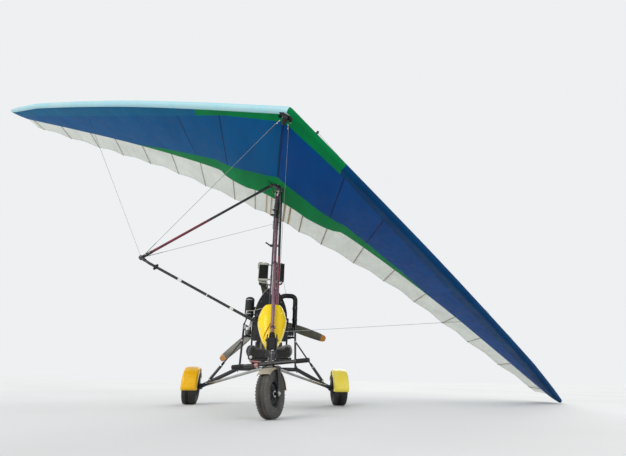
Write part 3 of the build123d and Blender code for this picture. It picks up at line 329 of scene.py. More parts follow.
def rubbery(name, dark, light, rough=(0.6, 0.85)):
    g = Graph(name)
    dust = g.noise(7.0, 6.0, 0.65)
    fine = g.noise(300.0, 3.0)
    colour = g.ramp(g.summed(fine, 0.25, dust, 0.8), 0.4, 0.8, dark, light)
    return g.surface(colour, g.scale_to(dust, 0.35, 0.7, *rough), 0.0, g.bump(fine, 0.3, 0.0004))


def shell_gloss(name, main, shade, rough=(0.16, 0.32)):
    """Gel-coated glass fibre: gloss, fine print-through of the mat, dust in the lows."""
    g = Graph(name)
    cloudy = g.noise(5.0, 4.0, 0.5)
    mat_print = g.voronoi(150.0)
    dust = g.noise(24.0, 6.0, 0.7)
    colour = g.mix(g.ramp(cloudy, 0.35, 0.75), main, shade)
    colour = g.mix(g.scale_to(dust, 0.62, 0.85, 0.0, 0.18), colour, (0.55, 0.4, 0.1))
    h = g.math("ADD", g.math("MULTIPLY", mat_print, 0.25), g.math("MULTIPLY", cloudy, 0.6))
    return g.surface(colour, g.scale_to(dust, 0.4, 0.75, *rough), 0.0, g.bump(h, 0.12, 0.001),
                     Coat_Weight=0.12, Specular_IOR_Level=0.3)


def weave_height(g, vector, pitch):
    """Two crossed thread waves."""
    a = g.wave(1.0 / pitch, "X", vector)
    b = g.wave(1.0 / pitch, "Y", vector)
    return g.math("MAXIMUM", a, b)


def seat_cloth(name, dark, light):
    g = Graph(name)
    v = g.local(TRIKE)
    thread = weave_height(g, v, 0.02)
    wear = g.noise(6.0, 5.0, 0.6)
    lint = g.noise(90.0, 4.0, 0.7)
    colour = g.ramp(g.summed(lint, 0.4, wear, 0.6), 0.35, 0.75, dark, light)
    n = g.bump(thread, 0.35, 0.0008, g.bump(wear, 0.5, 0.004))
    return g.surface(colour, 0.82, 0.0, n, Sheen_Weight=0.35)


def srgb(*rgb):
    """Colour from 0 to 255 as seen, in linear light."""
    out = []
    for c in rgb:
        c = c / 255
        out.append(c / 12.92 if c <= 0.04045 else ((c + 0.055) / 1.055) ** 2.4)
    return tuple(out)


def sailcloth(name, main, shade, light=0.25):
    """Woven polyester: fine threads, soft creases along the chord, faint stains and fading."""
    g = Graph(name)
    v = g.local(WING)
    threads = weave_height(g, v, 0.012)
    soft = g.noise(1.6, 4.0, 0.55, g.scaled(v, (2.2, 0.7, 1.0)))
    fine = g.noise(9.0, 5.0, 0.6, g.scaled(v, (1.6, 0.8, 1.0)))
    stain = g.noise(3.2, 6.0, 0.7, v)
    base = g.ramp(g.summed(fine, 0.3, soft, 0.7), 0.3, 0.72, shade, main)
    dark = tuple(c * 0.8 for c in shade)
    colour = g.mix(g.scale_to(stain, 0.6, 0.82, 0.0, 0.35), base, dark)
    crease = g.bump(g.math("ADD", soft, g.math("MULTIPLY", fine, 0.3)), 0.5, 0.004)
    normal = g.bump(threads, 0.12, 0.0006, crease)
    g.surface(colour, g.scale_to(fine, 0.3, 0.7, 0.48, 0.66), 0.0, normal, Specular_IOR_Level=0.08)
    return g.see_through(colour, light)


def film(name, main, shade, light):
    """Laminated film with a scrim of crossed threads and small wrinkles."""
    g = Graph(name)
    v = g.local(WING)
    scrim = weave_height(g, v, 0.018)
    wrinkle = g.noise(5.5, 5.0, 0.62, g.scaled(v, (2.8, 1.0, 1.0)), 0.4)
    haze = g.noise(2.4, 5.0, 0.6, v)
    colour = g.ramp(g.summed(wrinkle, 0.45, haze, 0.55), 0.32, 0.7, shade, main)
    normal = g.bump(scrim, 0.1, 0.0006, g.bump(wrinkle, 0.6, 0.006))
    g.surface(colour, g.scale_to(wrinkle, 0.3, 0.7, 0.34, 0.5), 0.0, normal, Specular_IOR_Level=0.25)
    return g.see_through(colour, light)


# Points, lines and pieces

def cubic(a, b, c, d, t):
    """Point between b and c on a smooth line through a, b, c and d."""
    out = []
    for p, q, r, s in zip(a, b, c, d):
        out.append(0.5 * (2 * q + (r - p) * t + (2 * p - 5 * q + 4 * r - s) * t * t
                          + (3 * q - p - 3 * r + s) * t * t * t))
    return tuple(out)


def smooth_path(points, per=6):
    points = [tuple(p) for p in points]
    ends = [points[0]] + points + [points[-1]]
    out = []
    for i in range(len(points) - 1):
        out += [cubic(*ends[i:i + 4], k / per) for k in range(per)]
    return out + [points[-1]]


def table_row(rows, x):
    """Row of a table at x, smooth between the rows."""
    i = 0
    while i < len(rows) - 2 and x > rows[i + 1][0]:
        i += 1
    last = len(rows) - 1
    a = rows[i - 1] if i else tuple(2 * p - q for p, q in zip(rows[0], rows[1]))
    d = rows[i + 2] if i + 2 <= last else tuple(2 * p - q for p, q in zip(rows[last], rows[last - 1]))
    t = (x - rows[i][0]) / (rows[i + 1][0] - rows[i][0])
    return cubic(a, rows[i], rows[i + 1], d, t)


def straight(table, x):
    for (x0, y0), (x1, y1) in zip(table, table[1:]):
        if x <= x1:
            return y0 + (y1 - y0) * (x - x0) / (x1 - x0)
    return table[-1][1]


class Build:
    """Collects forms in one frame, in metres, and makes one piece of them."""

    def __init__(self, frame):
        self.frame = frame
        self.verts = []
        self.faces = []
        self.index = []
        self.mats = []

    def add(self, verts, faces, mat, at=None):
        if mat not in self.mats:
            self.mats.append(mat)
        first = len(self.verts)
        place = self.frame @ at if at is not None else self.frame
        self.verts += [place @ Vector(v) for v in verts]
        self.faces += [tuple(first + i for i in f) for f in faces]
        self.index += [self.mats.index(mat)] * len(faces)

    def rings(self, rings, mat, at=None, closed=True, caps=True, loop=False):
        n = len(rings[0])
        verts = [p for ring in rings for p in ring]
        faces = []
        pairs = [(i, i + 1) for i in range(len(rings) - 1)]
        if loop:
            pairs.append((len(rings) - 1, 0))
        for a, b in pairs:
            for i in range(n if closed else n - 1):
                j = (i + 1) % n
                faces.append((a * n + i, a * n + j, b * n + j, b * n + i))
        if caps and closed and not loop:
            faces.append(tuple(range(n)))
            faces.append(tuple(reversed(range((len(rings) - 1) * n, len(rings) * n))))
        self.add(verts, faces, mat, at)

    def tube(self, points, r, mat, sides=12, at=None, caps=True, flat=1.0, loop=False):
        pts = [Vector(p) for p in points]
        radii = r if isinstance(r, (list, tuple)) else [r] * len(pts)
        rings = []
        side = None
        for i, p in enumerate(pts):
            ahead = pts[(i + 1) % len(pts)] if loop else pts[min(i + 1, len(pts) - 1)]
            behind = pts[i - 1] if loop else pts[max(i - 1, 0)]
            way = (ahead - behind).normalized()
            if side is None:
                side = way.orthogonal().normalized()
            side = (side - way * side.dot(way)).normalized()
            up = way.cross(side)
            rings.append([p + (side * cos(a) + up * sin(a) * flat) * radii[i] for a in around(sides)])
        self.rings(rings, mat, at, True, caps, loop)

    def lathe(self, profile, mat, seg=48, at=None, loop=False):
        """Profile of (along X, radius) turned about X."""
        rings = []
        for a in around(seg):
            rings.append([(x, r * cos(a), r * sin(a)) for x, r in profile])
        self.rings(rings, mat, at, loop, False, True)

    def band(self, x0, x1, r0, r1, mat, seg, at=None, loop=True):
        """Plain ring about X; without loop, a disc with a closed middle."""
        self.lathe([(x0, r0), (x0, r1), (x1, r1), (x1, r0)], mat, seg, at, loop)

    def hose(self, points, per, r, mat, sides, **more):
        """Tube on a smooth line through the points."""
        self.tube(smooth_path(points, per), r, mat, sides, **more)

    def cuff(self, centre, way, half, r, mat, sides, at=None):
        """Short tube to both sides of a place."""
        self.tube([centre - way * half, centre + way * half], r, mat, sides, at)

    def box(self, low, high, mat, edge=0.0, at=None, steps=2):
        bm = bmesh.new()
        bmesh.ops.create_cube(bm, size=1.0)
        for v in bm.verts:
            v.co = Vector([(p + q) / 2 + c * abs(q - p) for p, q, c in zip(low, high, v.co)])
        if edge:
            bmesh.ops.bevel(bm, geom=bm.edges[:], offset=edge, segments=steps, profile=0.6,
                            affect="EDGES")
        bm.verts.index_update()
        self.add([v.co.copy() for v in bm.verts], [[v.index for v in f.verts] for f in bm.faces], mat, at)
        bm.free()

    def bolt(self, place, way, r, mat, at=None):
        """Hexagon head on a washer, standing along way."""
        turn = Vector(way).normalized().to_track_quat("X", "Z").to_matrix().to_4x4()
        here = Matrix.Translation(Vector(place)) @ turn
        if at is not None:
            here = at @ here
        self.lathe([(0, 0.0001), (0, r * 1.55), (r * 0.22, r * 1.55), (r * 0.22, 0.0001)], mat, 20, here)
        self.lathe([(r * 0.2, r), (r * 0.95, r), (r * 1.15, r * 0.82), (r * 1.15, 0.0001)], mat, 6, here)

    def piece(self, name, body, *stands_for, slot=None, angle=38.0):
        mesh = bpy.data.meshes.new(name)
        mesh.from_pydata([tuple(v) for v in self.verts], [], self.faces)
        for m in self.mats:
            mesh.materials.append(m)
        for poly, i in zip(mesh.polygons, self.index):
            poly.material_index = i
            poly.use_smooth = True
        bm = bmesh.new()
        bm.from_mesh(mesh)
        bmesh.ops.recalc_face_normals(bm, faces=bm.faces[:])
        bm.to_mesh(mesh)
        bm.free()
        mesh.set_sharp_from_angle(angle=radians(angle))
        obj = put_in_scene(name, mesh)
        if stands_for:
            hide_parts(*stands_for)
        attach(obj, body)
        return obj


# Wing sails, in the wing frame

# Rib lines: x, leading edge y and z, crest y and z, under surface's rear edge y and z,
# trailing edge y and z
RIBS = (
    (0.0, -1.352, 0.066, -0.620, 0.212, 0.210, 0.062, 0.905, 0.038),
    (1.0, -0.880, -0.025, -0.330, 0.165, 0.500, 0.116, 1.165, 0.112),
    (2.0, -0.348, -0.082, 0.120, 0.122, 0.880, 0.142, 1.410, 0.156),
    (3.0, 0.242, -0.122, 0.610, 0.066, 1.250, 0.120, 1.685, 0.118),
    (4.0, 0.868, -0.150, 1.110, -0.018, 1.545, 0.022, 1.905, 0.042),
    (4.9, 1.520, -0.172, 1.640, -0.110, 1.830, -0.066, 2.100, -0.020),
)
HALF_SPAN = 4.9
POCKET_R = 0.041
POCKET_ANGLES = range(-70, 75, 12)
# Height of the under surface where it passes below the keel tube
UNDER_KEEL = -0.034
BATTENS = (0.0, 0.37, 0.74, 1.3, 1.84, 2.42, 2.99, 3.5, 4.12, 4.75)
GREEN_EDGE = ((0.0, -0.33), (0.7, 0.04), (1.25, 0.34), (1.9, 0.68), (2.32, 0.95), (5.0, 2.6))
SEAM_BACK = ((0.0, 0.075), (0.7, 0.085), (1.3, 0.15), (2.3, 0.23), (3.5, 0.26), (4.5, 0.2), (4.9, 0.14))
# Opening for the hang block: its half width, and the rows of the under surface that it takes
NOTCH_X = 0.132
NOTCH_CUT = range(22, 27)
NOTCH_ROWS = (-0.32, -0.245, -0.175, -0.125, -0.05, 0.0, 0.04, 0.078, 0.12, 0.165, 0.21)


# Rows at which the under surface's colours begin, and the upper one's trailing strip
SEAM_ROW = 6
GREEN_ROW = 20
TRAIL_ROW = 20
SEAM_STRIP = 0.018


def sail_columns():
    xs = [0.0, 0.014, 0.03, 0.07, 0.1, NOTCH_X, 0.2, 0.3]
    for a, b in zip(BATTENS[1:], BATTENS[2:]):
        steps = 6
        xs += [a + (b - a) * k / steps for k in range(steps)]
    xs += [BATTENS[2] - SEAM_STRIP, BATTENS[3] - SEAM_STRIP]
    return sorted(xs) + [BATTENS[-1], 4.8, 4.84, 4.87, 4.89]


def between_battens(x):
    """0 at a batten, 1 half-way to the next."""
    for a, b in zip(BATTENS, BATTENS[1:]):
        if a <= x <= b:
            return sin(pi * (x - a) / (b - a)) ** 2
    return 0.0


def pocket_frame(x):
    row = table_row(RIBS, x)
    ahead = table_row(RIBS, min(x + 0.02, HALF_SPAN))
    behind = table_row(RIBS, max(x - 0.02, 0.0))
    centre = Vector((x, row[1], row[2]))
    way = (Vector(ahead[:3]) - Vector(behind[:3])).normalized()
    up = (Vector((0, 0, 1)) - way * way.z).normalized()
    return centre, way.cross(up), up


def pocket_point(x, angle):
    centre, front, up = pocket_frame(x)
    r = POCKET_R * (1.0 - 0.25 * max(0.0, (x - 4.5) / 0.4) ** 2)
    a = radians(angle)
    p = centre + (front * cos(a) + up * sin(a)) * r
    return (x, p.y, p.z) if x < 0.001 else tuple(p)


def upper_line(x):
    row = table_row(RIBS, x)
    le_y, le_z, crest_y, crest_z, under_y, under_z, te_y, te_z = row[1:]
    z0 = le_z + 0.0315
    knots = [pocket_point(x, 55), pocket_point(x, 75)]
    for along, rise in ((0.22, 0.45), (0.55, 0.84), (1.0, 1.0)):
        knots.append((x, le_y + (crest_y - le_y) * along, z0 + (crest_z - z0) * rise + 0.004))
    for along, rise in ((0.5, 0.8), (1.0, 0.0)):
        knots.append((x, crest_y + (under_y - crest_y) * along,
                      under_z + (crest_z - under_z) * rise + 0.004))
    dip = between_battens(x)
    knots.append((x, te_y - 0.03 * dip, te_z + 0.002))
    out = [pocket_point(x, a) for a in POCKET_ANGLES]
    knots.append(tuple(2 * p - q for p, q in zip(knots[-1], knots[-2])))
    for i in range(1, len(knots) - 2):
        steps = 9 if i == len(knots) - 3 else 4
        out += [cubic(*knots[i - 1:i + 3], k / steps) for k in range(steps)]
    out.append(knots[-2])
    n = len(out)
    billow = [0.01 * dip * max(0.0, (k / (n - 1) - 0.35) / 0.65) for k in range(n)]
    return [(p[0], p[1], p[2] + b) for p, b in zip(out, billow)]


def under_line(x):
    row = table_row(RIBS, x)
    under_y, under_z = row[5], row[6]
    root = max(0.0, 1.0 - x / 0.9)
    if x < 1.0:
        under_z = min(under_z, UNDER_KEEL + (0.118 - UNDER_KEEL) * x)
    seam = row[1] + straight(SEAM_BACK, x)
    green = min(straight(GREEN_EDGE, x), under_y - 0.003)
    start = pocket_point(x, -100)
    keep = [pocket_point(x, a) for a in (-70, -85)] + [start]

    def height(y):
        t = (y - start[1]) / (under_y - start[1])
        line = start[2] + (under_z - start[2]) * t
        low = min(line, UNDER_KEEL)
        drop = min(1.0, max(0.0, (y - start[1]) / 0.11))
        z = line + (low - line) * drop * (root ** 0.5 if root else 0.0)
        if x < 0.001 and y > start[1] + 0.11:
            z = UNDER_KEEL
        return z - 0.006 * sin(pi * min(max(t, 0.0), 1.0)) - 0.007 * between_battens(x) * sin(pi * t)

    ys = [start[1] + (seam - start[1]) * k / 4 for k in range(1, 5)]
    ys += [seam + (green - seam) * k / 14 for k in range(1, 15)]
    blend = min(1.0, max(0.0, (x - NOTCH_X) / 0.3))
    for k in range(1, 11):
        even = green + (under_y - green) * k / 10
        ys.append(NOTCH_ROWS[k] * (1 - blend) + even * blend if blend < 1 else even)
    ys = [min(y, under_y) for y in ys]
    return keep + [(x, y, height(y)) for y in ys]


def grid(build, lines, mats, skip=None):
    n = len(lines[0])
    verts = [p for line in lines for p in line]
    groups = {}
    for i in range(len(lines) - 1):
        for k in range(n - 1):
            if skip and skip(i, k):
                continue
            face = (i * n + k, (i + 1) * n + k, (i + 1) * n + k + 1, i * n + k + 1)
            groups.setdefault(mats(i, k), []).append(face)
    mesh_first = len(build.verts)
    build.add(verts, [], next(iter(groups)))
    for mat, faces in groups.items():
        if mat not in build.mats:
            build.mats.append(mat)
        build.faces += [tuple(mesh_first + v for v in f) for f in faces]
        build.index += [build.mats.index(mat)] * len(faces)


def sails(side, name, cloth):
    mirror = Matrix.Diagonal((side, 1, 1, 1))
    xs = sail_columns()
    mids = [(a + b) / 2 for a, b in zip(xs, xs[1:])]
    top = Build(WING @ mirror)
    lines = [upper_line(x) for x in xs]
    wrap = len(POCKET_ANGLES)
    strip = cloth["glare_from"]

    def upper_mat(i, k):
        if k < strip:
            return cloth["green"] if mids[i] < cloth["green_to"] else cloth["teal"]
        # Painted highlight: the pale glare strip over the pocket's upper rows, from the glare row on
        if k < wrap + 3:
            return cloth["lead_painted_glare"]
        if mids[i] < 0.35 and -0.34 < lines[i][k][1] < 0.27:
            return cloth["green"]
        return cloth["trailing"] if k >= wrap + TRAIL_ROW else cloth["upper"]

    grid(top, lines, upper_mat)
    upper = top.piece("sail_top_" + name, "wing", "sail_upper_" + name, slot="sail_upper", angle=180)

    low = Build(WING @ mirror)
    under = [under_line(x) for x in xs]

    def under_mat(i, k):
        # Painted highlight: where a half has one, the glare strip runs onto the first rows below the
        # leading edge
        if k < cloth["glare_to"]:
            return cloth["lead_painted_glare"]
        if k < SEAM_ROW:
            return cloth["green"] if mids[i] < cloth["green_to"] else cloth["teal"]
        if k < GREEN_ROW:
            seam = mids[i] < 0.014 or any(b - SEAM_STRIP < mids[i] < b for b in BATTENS[2:4])
            return cloth["seam"] if seam else cloth["blue"]
        return cloth["green"]

    def under_skip(i, k):
        hang = mids[i] < NOTCH_X and k in NOTCH_CUT
        nose = mids[i] < 0.06 and k < 4
        return hang or nose

    grid(low, under, under_mat, under_skip)
    below = low.piece("sail_below_" + name, "wing", "sail_under_" + name, slot="sail_under", angle=180)

    # Pockets above, battens seen through the trailing strip below, their tips and the hem
    rods = Build(WING @ mirror)
    for x in BATTENS[1:]:
        line = upper_line(x)
        aft = line[wrap + TRAIL_ROW:]
        tip = Vector(aft[-1]) + (Vector(aft[-1]) - Vector(aft[-3])).normalized() * 0.016
        strip_pts = [(p[0], p[1], p[2] - 0.005) for p in aft]
        rods.tube(strip_pts + [tuple(tip + Vector((0, 0, -0.004)))], 0.0065, cloth["batten"], 8,
                  flat=0.55)
        rods.tube([aft[-1], tip], 0.0085, cloth["cap"], 10)
        pocket = [(p[0], p[1], p[2] + 0.0015) for p in line[wrap + 1:]]
        rods.tube(pocket, 0.011, cloth["pocket"], 8, flat=0.22)
    # Tan pockets of the short battens beside the keel
    for x in (0.105, 0.185):
        aft = upper_line(x)[wrap + TRAIL_ROW:]
        rods.tube([(p[0], p[1], p[2] - 0.0045) for p in aft], 0.0165, cloth["tan"], 10, flat=0.16)
    hem = [line[-1] for line in lines]
    rods.tube(hem, 0.0045, cloth["pocket"], 8)
    rods.piece("battens_" + name, "wing", slot="sail_upper")


def build_wing_cloth():
    green = sailcloth("cloth_green", srgb(6, 150, 82), srgb(3, 122, 66), 0.3)
    white = sailcloth("cloth_white", srgb(232, 236, 232), srgb(212, 218, 214), 0.3)
    trailing = film("cloth_trailing", srgb(226, 229, 221), srgb(196, 201, 193), 0.4)
    shared = {
        "green": green, "upper": white, "trailing": trailing,
        "batten": painted("batten_tan", srgb(120, 92, 62), srgb(150, 122, 90), (0.4, 0.6)),
        "cap": painted("batten_cap", srgb(205, 205, 198), srgb(235, 235, 230), (0.35, 0.5)),
        "tan": sailcloth("cloth_tan", srgb(206, 178, 140), srgb(176, 148, 112), 0.15),
        "pocket": sailcloth("cloth_pocket", srgb(222, 226, 222), srgb(200, 205, 200), 0.1),
        # Pale cyan strip over the leading edge: painted highlight of sun glare on the pocket
        "lead_painted_glare": film("cloth_lead", srgb(214, 246, 250), srgb(178, 238, 250), 0.3),
    }
    # Seam, strip and main colour of each half, with how much light its strip lets through and where its
    # strip and the painted leading highlight run; the right half's seam, strip and main colours, and its
    # strip's see-through share, are lighter copies of the left's as painted light
    halves = (
        (1, "left", (0, 50, 104), (0, 38, 88), (0, 72, 122), (0, 56, 104), 0.2,
         (2, 80, 152), (2, 66, 132), {"green_to": 0.66, "glare_from": 10, "glare_to": 0}),
        (-1, "right", (0, 64, 106), (0, 52, 92), (6, 112, 158), (2, 98, 142), 0.25,
         (2, 98, 160), (2, 84, 138), {"green_to": 1.06, "glare_from": 0, "glare_to": 2}),
    )
    for side, name, seam, seam_low, teal, teal_low, teal_light, blue, blue_low, runs in halves:
        cloth = dict(shared, **runs)
        cloth["seam"] = sailcloth("cloth_seam_" + name, srgb(*seam), srgb(*seam_low), 0.1)
        cloth["teal"] = sailcloth("cloth_teal_" + name, srgb(*teal), srgb(*teal_low), teal_light)
        cloth["blue"] = sailcloth("cloth_blue_" + name, srgb(*blue), srgb(*blue_low))
        sails(side, name, cloth)


# Floor, world and lamps

def pale_floor():
    g = Graph("floor")
    v = g.place()
    soft = g.noise(0.35, 3.0, 0.5, v)
    grain = g.noise(60.0, 4.0, 0.6, v)
    colour = g.ramp(soft, 0.3, 0.7, srgb(226, 225, 221), srgb(234, 233, 230))
    g.surface(colour, 0.85, 0.0, g.bump(grain, 0.1, 0.002))
    mesh = bpy.data.meshes.new("floor")
    r = 60.0
    mesh.from_pydata([(-r, -r, 0), (r, -r, 0), (r, r, 0), (-r, r, 0)], [], [(0, 1, 2, 3)])
    mesh.materials.append(g.mat)
    put_in_scene("floor", mesh)


def pale_world():
    """Even light, and a plain pale backdrop for what looks straight, mirrored or through."""
    world = bpy.data.worlds.new("world")
    world.use_nodes = True
    scene.world = world
    tree = world.node_tree
    tree.nodes.clear()
    new, join = tree.nodes.new, tree.links.new
    mix = new("ShaderNodeMixShader")
    path = new("ShaderNodeLightPath")
    shades = (((236, 240, 246), 0.86), ((238, 240, 242), 1.0))
    for place, (colour, strength) in enumerate(shades):
        shade = new("ShaderNodeBackground")
        shade.inputs["Color"].default_value = (*srgb(*colour), 1)
        shade.inputs["Strength"].default_value = strength
        join(shade.outputs[0], mix.inputs[place + 1])
    seen = path.outputs["Is Camera Ray"]
    for ray in ("Is Glossy Ray", "Is Transmission Ray"):
        either = new("ShaderNodeMath")
        either.operation = "MAXIMUM"
        join(seen, either.inputs[0])
        join(path.outputs[ray], either.inputs[1])
        seen = either.outputs[0]
    join(seen, mix.inputs[0])
    join(mix.outputs[0], new("ShaderNodeOutputWorld").inputs["Surface"])


# Name, way to the lamp, spread, strength, colour
LAMPS = (
    ("key", (-7.0, -6.1, 5.3), 0.55, 1.3, (1.0, 0.98, 0.95)),
    ("fill", (5.7, -7.6, 0.9), 0.6, 0.42, (0.95, 0.98, 1.0)),
    ("rim", (2.0, 7.0, 4.5), 0.6, 0.62, (1.0, 1.0, 1.0)),
)


def lamps():
    for name, way, spread, strength, colour in LAMPS:
        data = bpy.data.lights.new(name, "SUN")
        data.angle = spread
        data.energy = strength
        data.color = colour
        put_in_scene(name, data).rotation_euler = Vector(way).to_track_quat("Z", "Y").to_euler()


# Materials for every solid that keeps its own shape

# Kind of surface, material name, dark and light shade as seen, and the kind's own values
LOOKS = {
    "black": (painted, "black_tube", (16, 16, 18), (42, 41, 42), dict(rough=(0.28, 0.46), coat=0.15)),
    "plum": (painted, "plum_tube", (34, 29, 35), (84, 66, 78),
             dict(rough=(0.25, 0.42), metal=0.3, coat=0.2)),
    "mauve": (painted, "mauve_tube", (96, 62, 74), (150, 112, 124),
              dict(rough=(0.25, 0.42), metal=0.3, coat=0.2)),
    "bracket": (painted, "bracket_black", (20, 20, 21), (58, 57, 56), dict(rough=(0.35, 0.6))),
    "silver": (brushed, "silver_tube", (150, 150, 148), (205, 205, 202), {}),
    "bright": (brushed, "bright_metal", (170, 170, 168), (222, 222, 218), dict(rough=(0.16, 0.32))),
    "steel": (brushed, "wire_steel", (104, 110, 114), (156, 162, 164), dict(rough=(0.25, 0.4))),
    "tyre": (rubbery, "tyre_rubber", (20, 20, 20), (66, 64, 60), {}),
    "tyre_grey": (rubbery, "tyre_grey", (44, 44, 43), (112, 108, 100), {}),
    "rim": (cast, "rim_alloy", (34, 34, 35), (92, 92, 92), dict(rough=(0.35, 0.55), metal=0.7)),
    "yellow": (shell_gloss, "yellow_shell", (252, 224, 12), (246, 200, 8), {}),
    # Deeper yellow used only for painted shade on the pod: along its fold, and as the front strut's
    # shadow beside the prow
    "amber": (shell_gloss, "amber_shell", (236, 160, 10), (206, 126, 8), {}),
    "beige": (painted, "beige_plastic", (140, 130, 112), (186, 174, 150), dict(rough=(0.4, 0.6))),
    "cloth": (seat_cloth, "seat_cloth", (14, 14, 16), (54, 53, 56), {}),
    "panel": (seat_cloth, "panel_cloth", (10, 10, 12), (34, 33, 36), {}),
    "cast": (cast, "engine_cast", (26, 26, 27), (78, 78, 78), {}),
    "head": (cast, "engine_head", (40, 40, 41), (120, 119, 116), {}),
    "pipe": (cast, "exhaust_black", (12, 12, 13), (50, 46, 43), dict(rough=(0.4, 0.65), metal=0.5)),
    "rubber": (rubbery, "black_rubber", (12, 12, 13), (44, 43, 42), {}),
    "tank": (painted, "tank_plastic", (34, 34, 36), (70, 69, 68), dict(rough=(0.35, 0.55))),
    "core": (painted, "radiator_core", (10, 10, 10), (36, 35, 33), dict(rough=(0.45, 0.6))),
    "olive": (painted, "radiator_frame", (150, 142, 108), (206, 202, 182), dict(rough=(0.35, 0.55))),
    "wood": (painted, "blade_dark", (54, 56, 48), (104, 100, 82), dict(rough=(0.3, 0.45), coat=0.2)),
    "hub": (brushed, "hub_metal", (140, 140, 138), (196, 196, 192), {}),
    "hose": (rubbery, "hose_rubber", (16, 16, 17), (52, 51, 50), {}),
    "white_hose": (painted, "white_hose", (206, 204, 194), (240, 238, 230), dict(rough=(0.3, 0.5))),
    "strap": (seat_cloth, "strap_grey", (120, 118, 112), (176, 173, 164), {}),
    # Lit and shaded copies of the spats' one yellow: painted light on the left spat, painted shade on the
    # right spat
    "yellow_painted_lit": (shell_gloss, "yellow_shell_left", (252, 238, 104), (246, 212, 60), {}),
    "yellow_painted_shade": (shell_gloss, "yellow_shell_right", (244, 186, 14), (226, 160, 8), {}),
    "rope": (seat_cloth, "starter_rope", (160, 154, 136), (214, 208, 190), {}),
    "upright": (banded, "upright_paint", (72, 16, 36), (132, 36, 60), dict(join=-0.8)),
    "steel_dark": (brushed, "dark_steel", (70, 70, 72), (120, 120, 122), {}),
    "pink_metal": (painted, "pink_bracket", (150, 96, 96), (196, 150, 146),
                   dict(rough=(0.3, 0.5), metal=0.3)),
    "blue": (painted, "blue_collar", (24, 70, 128), (60, 118, 176), dict(rough=(0.25, 0.42), metal=0.4)),
    "piping": (seat_cloth, "seat_piping", (6, 6, 7), (30, 30, 32), {}),
    "piping_grey": (seat_cloth, "grey_piping", (120, 120, 122), (176, 176, 178), {}),
    "thread": (seat_cloth, "seat_stitch_line", (4, 4, 5), (20, 20, 22), {}),
    "tag_red": (painted, "buckle_button", (150, 20, 18), (190, 44, 38), dict(rough=(0.3, 0.45))),
    "grey_metal": (brushed, "grey_metal", (120, 120, 122), (172, 172, 174), dict(rough=(0.3, 0.5))),
    "alloy": (cast, "carburettor_alloy", (96, 96, 96), (168, 168, 166),
              dict(rough=(0.35, 0.55), metal=0.8)),
    "fuel_hose": (painted, "fuel_hose", (170, 120, 40), (214, 176, 90), dict(rough=(0.25, 0.4))),
    "bottle": (painted, "bottle_grey", (72, 72, 74), (112, 112, 112), dict(rough=(0.35, 0.5))),
    "white_cap": (painted, "white_plastic", (214, 213, 208), (244, 243, 240), dict(rough=(0.3, 0.45))),
    "radiator_pale": (painted, "radiator_pale_edge", (176, 172, 158), (232, 230, 222),
                      dict(rough=(0.35, 0.5))),
    "fin": (painted, "radiator_fin", (26, 26, 25), (62, 60, 56), dict(rough=(0.45, 0.65))),
    "cream_hose": (painted, "cream_hose", (186, 182, 160), (222, 218, 200), dict(rough=(0.35, 0.5))),
    "tip_orange": (painted, "blade_tip_orange", (158, 96, 24), (204, 142, 44),
                   dict(rough=(0.35, 0.5), coat=0.1)),
}


def solid_materials():
    made = {}
    for key, (kind, name, dark, light, own) in LOOKS.items():
        made[key] = kind(name, srgb(*dark), srgb(*light), **own)
    return SimpleNamespace(**made)


NODE_LOOK = {
    "beam": "black", "axle_tube": "black", "gear_leg_left": "black", "gear_leg_right": "black",
    "drag_strut_left": "silver", "drag_strut_right": "silver", "shock_struts": "black",
    "spat_left": "yellow", "spat_right": "yellow", "mast": "plum", "mast_bracket": "bracket",
    "front_strut": "mauve", "strut_bracket": "bracket", "seat_frame": "black", "seat_cushion": "cloth",
    "seat_back": "cloth", "back_panel": "panel", "pod": "yellow", "engine_frame": "black",
    "crankcase": "cast", "cylinders": "head", "gearbox": "cast", "exhaust": "pipe", "airbox": "rubber",
    "carburettors": "hub", "radiators": "core", "fuel_tank": "tank", "prop_hub": "hub",
    "prop_blades": "wood", "tyre_rear_left": "tyre", "tyre_rear_right": "tyre", "tyre_front": "tyre_grey",
    "rim_rear_left": "rim", "rim_rear_right": "rim", "rim_front": "rim", "fork": "black",
    "foot_bar": "rubber", "front_mudguard": "beige", "hang_bracket": "hub", "keel_tube": "silver",
    "nose_plate": "bracket", "leading_edge_left": "silver", "leading_edge_right": "silver",
    "kingpost": "black", "apex_bracket": "bracket", "upright_left": "upright", "upright_right": "upright",
    "base_bar": "black", "corner_fittings": "bracket", "front_stays": "steel", "side_stays": "steel",
    "rear_stays": "steel", "upper_stays": "steel",
}


def dress_nodes(m):
    for name, look in NODE_LOOK.items():
        if name not in nodes:
            continue
        data = nodes[name].data
        data.materials.clear()
        data.materials.append(getattr(m, look))


# Wheels: tyres with ribs or lugs, dished rims with bolts and a valve

def arc_points(cx, cy, r, a0, a1, n):
    out = []
    for k in range(n + 1):
        a = radians(a0 + (a1 - a0) * k / n)
        out.append((cx + r * cos(a), cy + r * sin(a)))
    return out


def mirrored(half):
    """A half profile and its mirror image, from end to end."""
    return half + [(-x, r) for x, r in reversed(half)]


def tyre_profile(d, w, rim_d, grooves, depth):
    """Closed section of (along the axle, radius), tread with grooves cut into it."""
    r = d / 2
    base = rim_d / 2
    half = [(w * 0.34, base), (w * 0.41, base + 0.004), (w * 0.445, base + (r - base) * 0.16),
            (w * 0.475, base + (r - base) * 0.34), (w * 0.492, base + (r - base) * 0.5),
            (w * 0.497, r * 0.82), (w * 0.489, r * 0.866), (w * 0.464, r * 0.912), (w * 0.43, r * 0.945),
            (w * 0.385, r * 0.969), (w * 0.34, r * 0.986)]
    tread = [(w * 0.3, r * 0.998)]
    for g in sorted(grooves, reverse=True):
        x = g * w
        tread += [(x + 0.0022, r), (x + 0.0014, r - depth), (x - 0.0014, r - depth), (x - 0.0022, r)]
    right = half + tread
    left = [(-x, q) for x, q in reversed(right) if x > 0.0005]
    inner = [(-w * 0.34, base), (-w * 0.3, base + 0.012), (w * 0.3, base + 0.012)]
    return right + left + inner


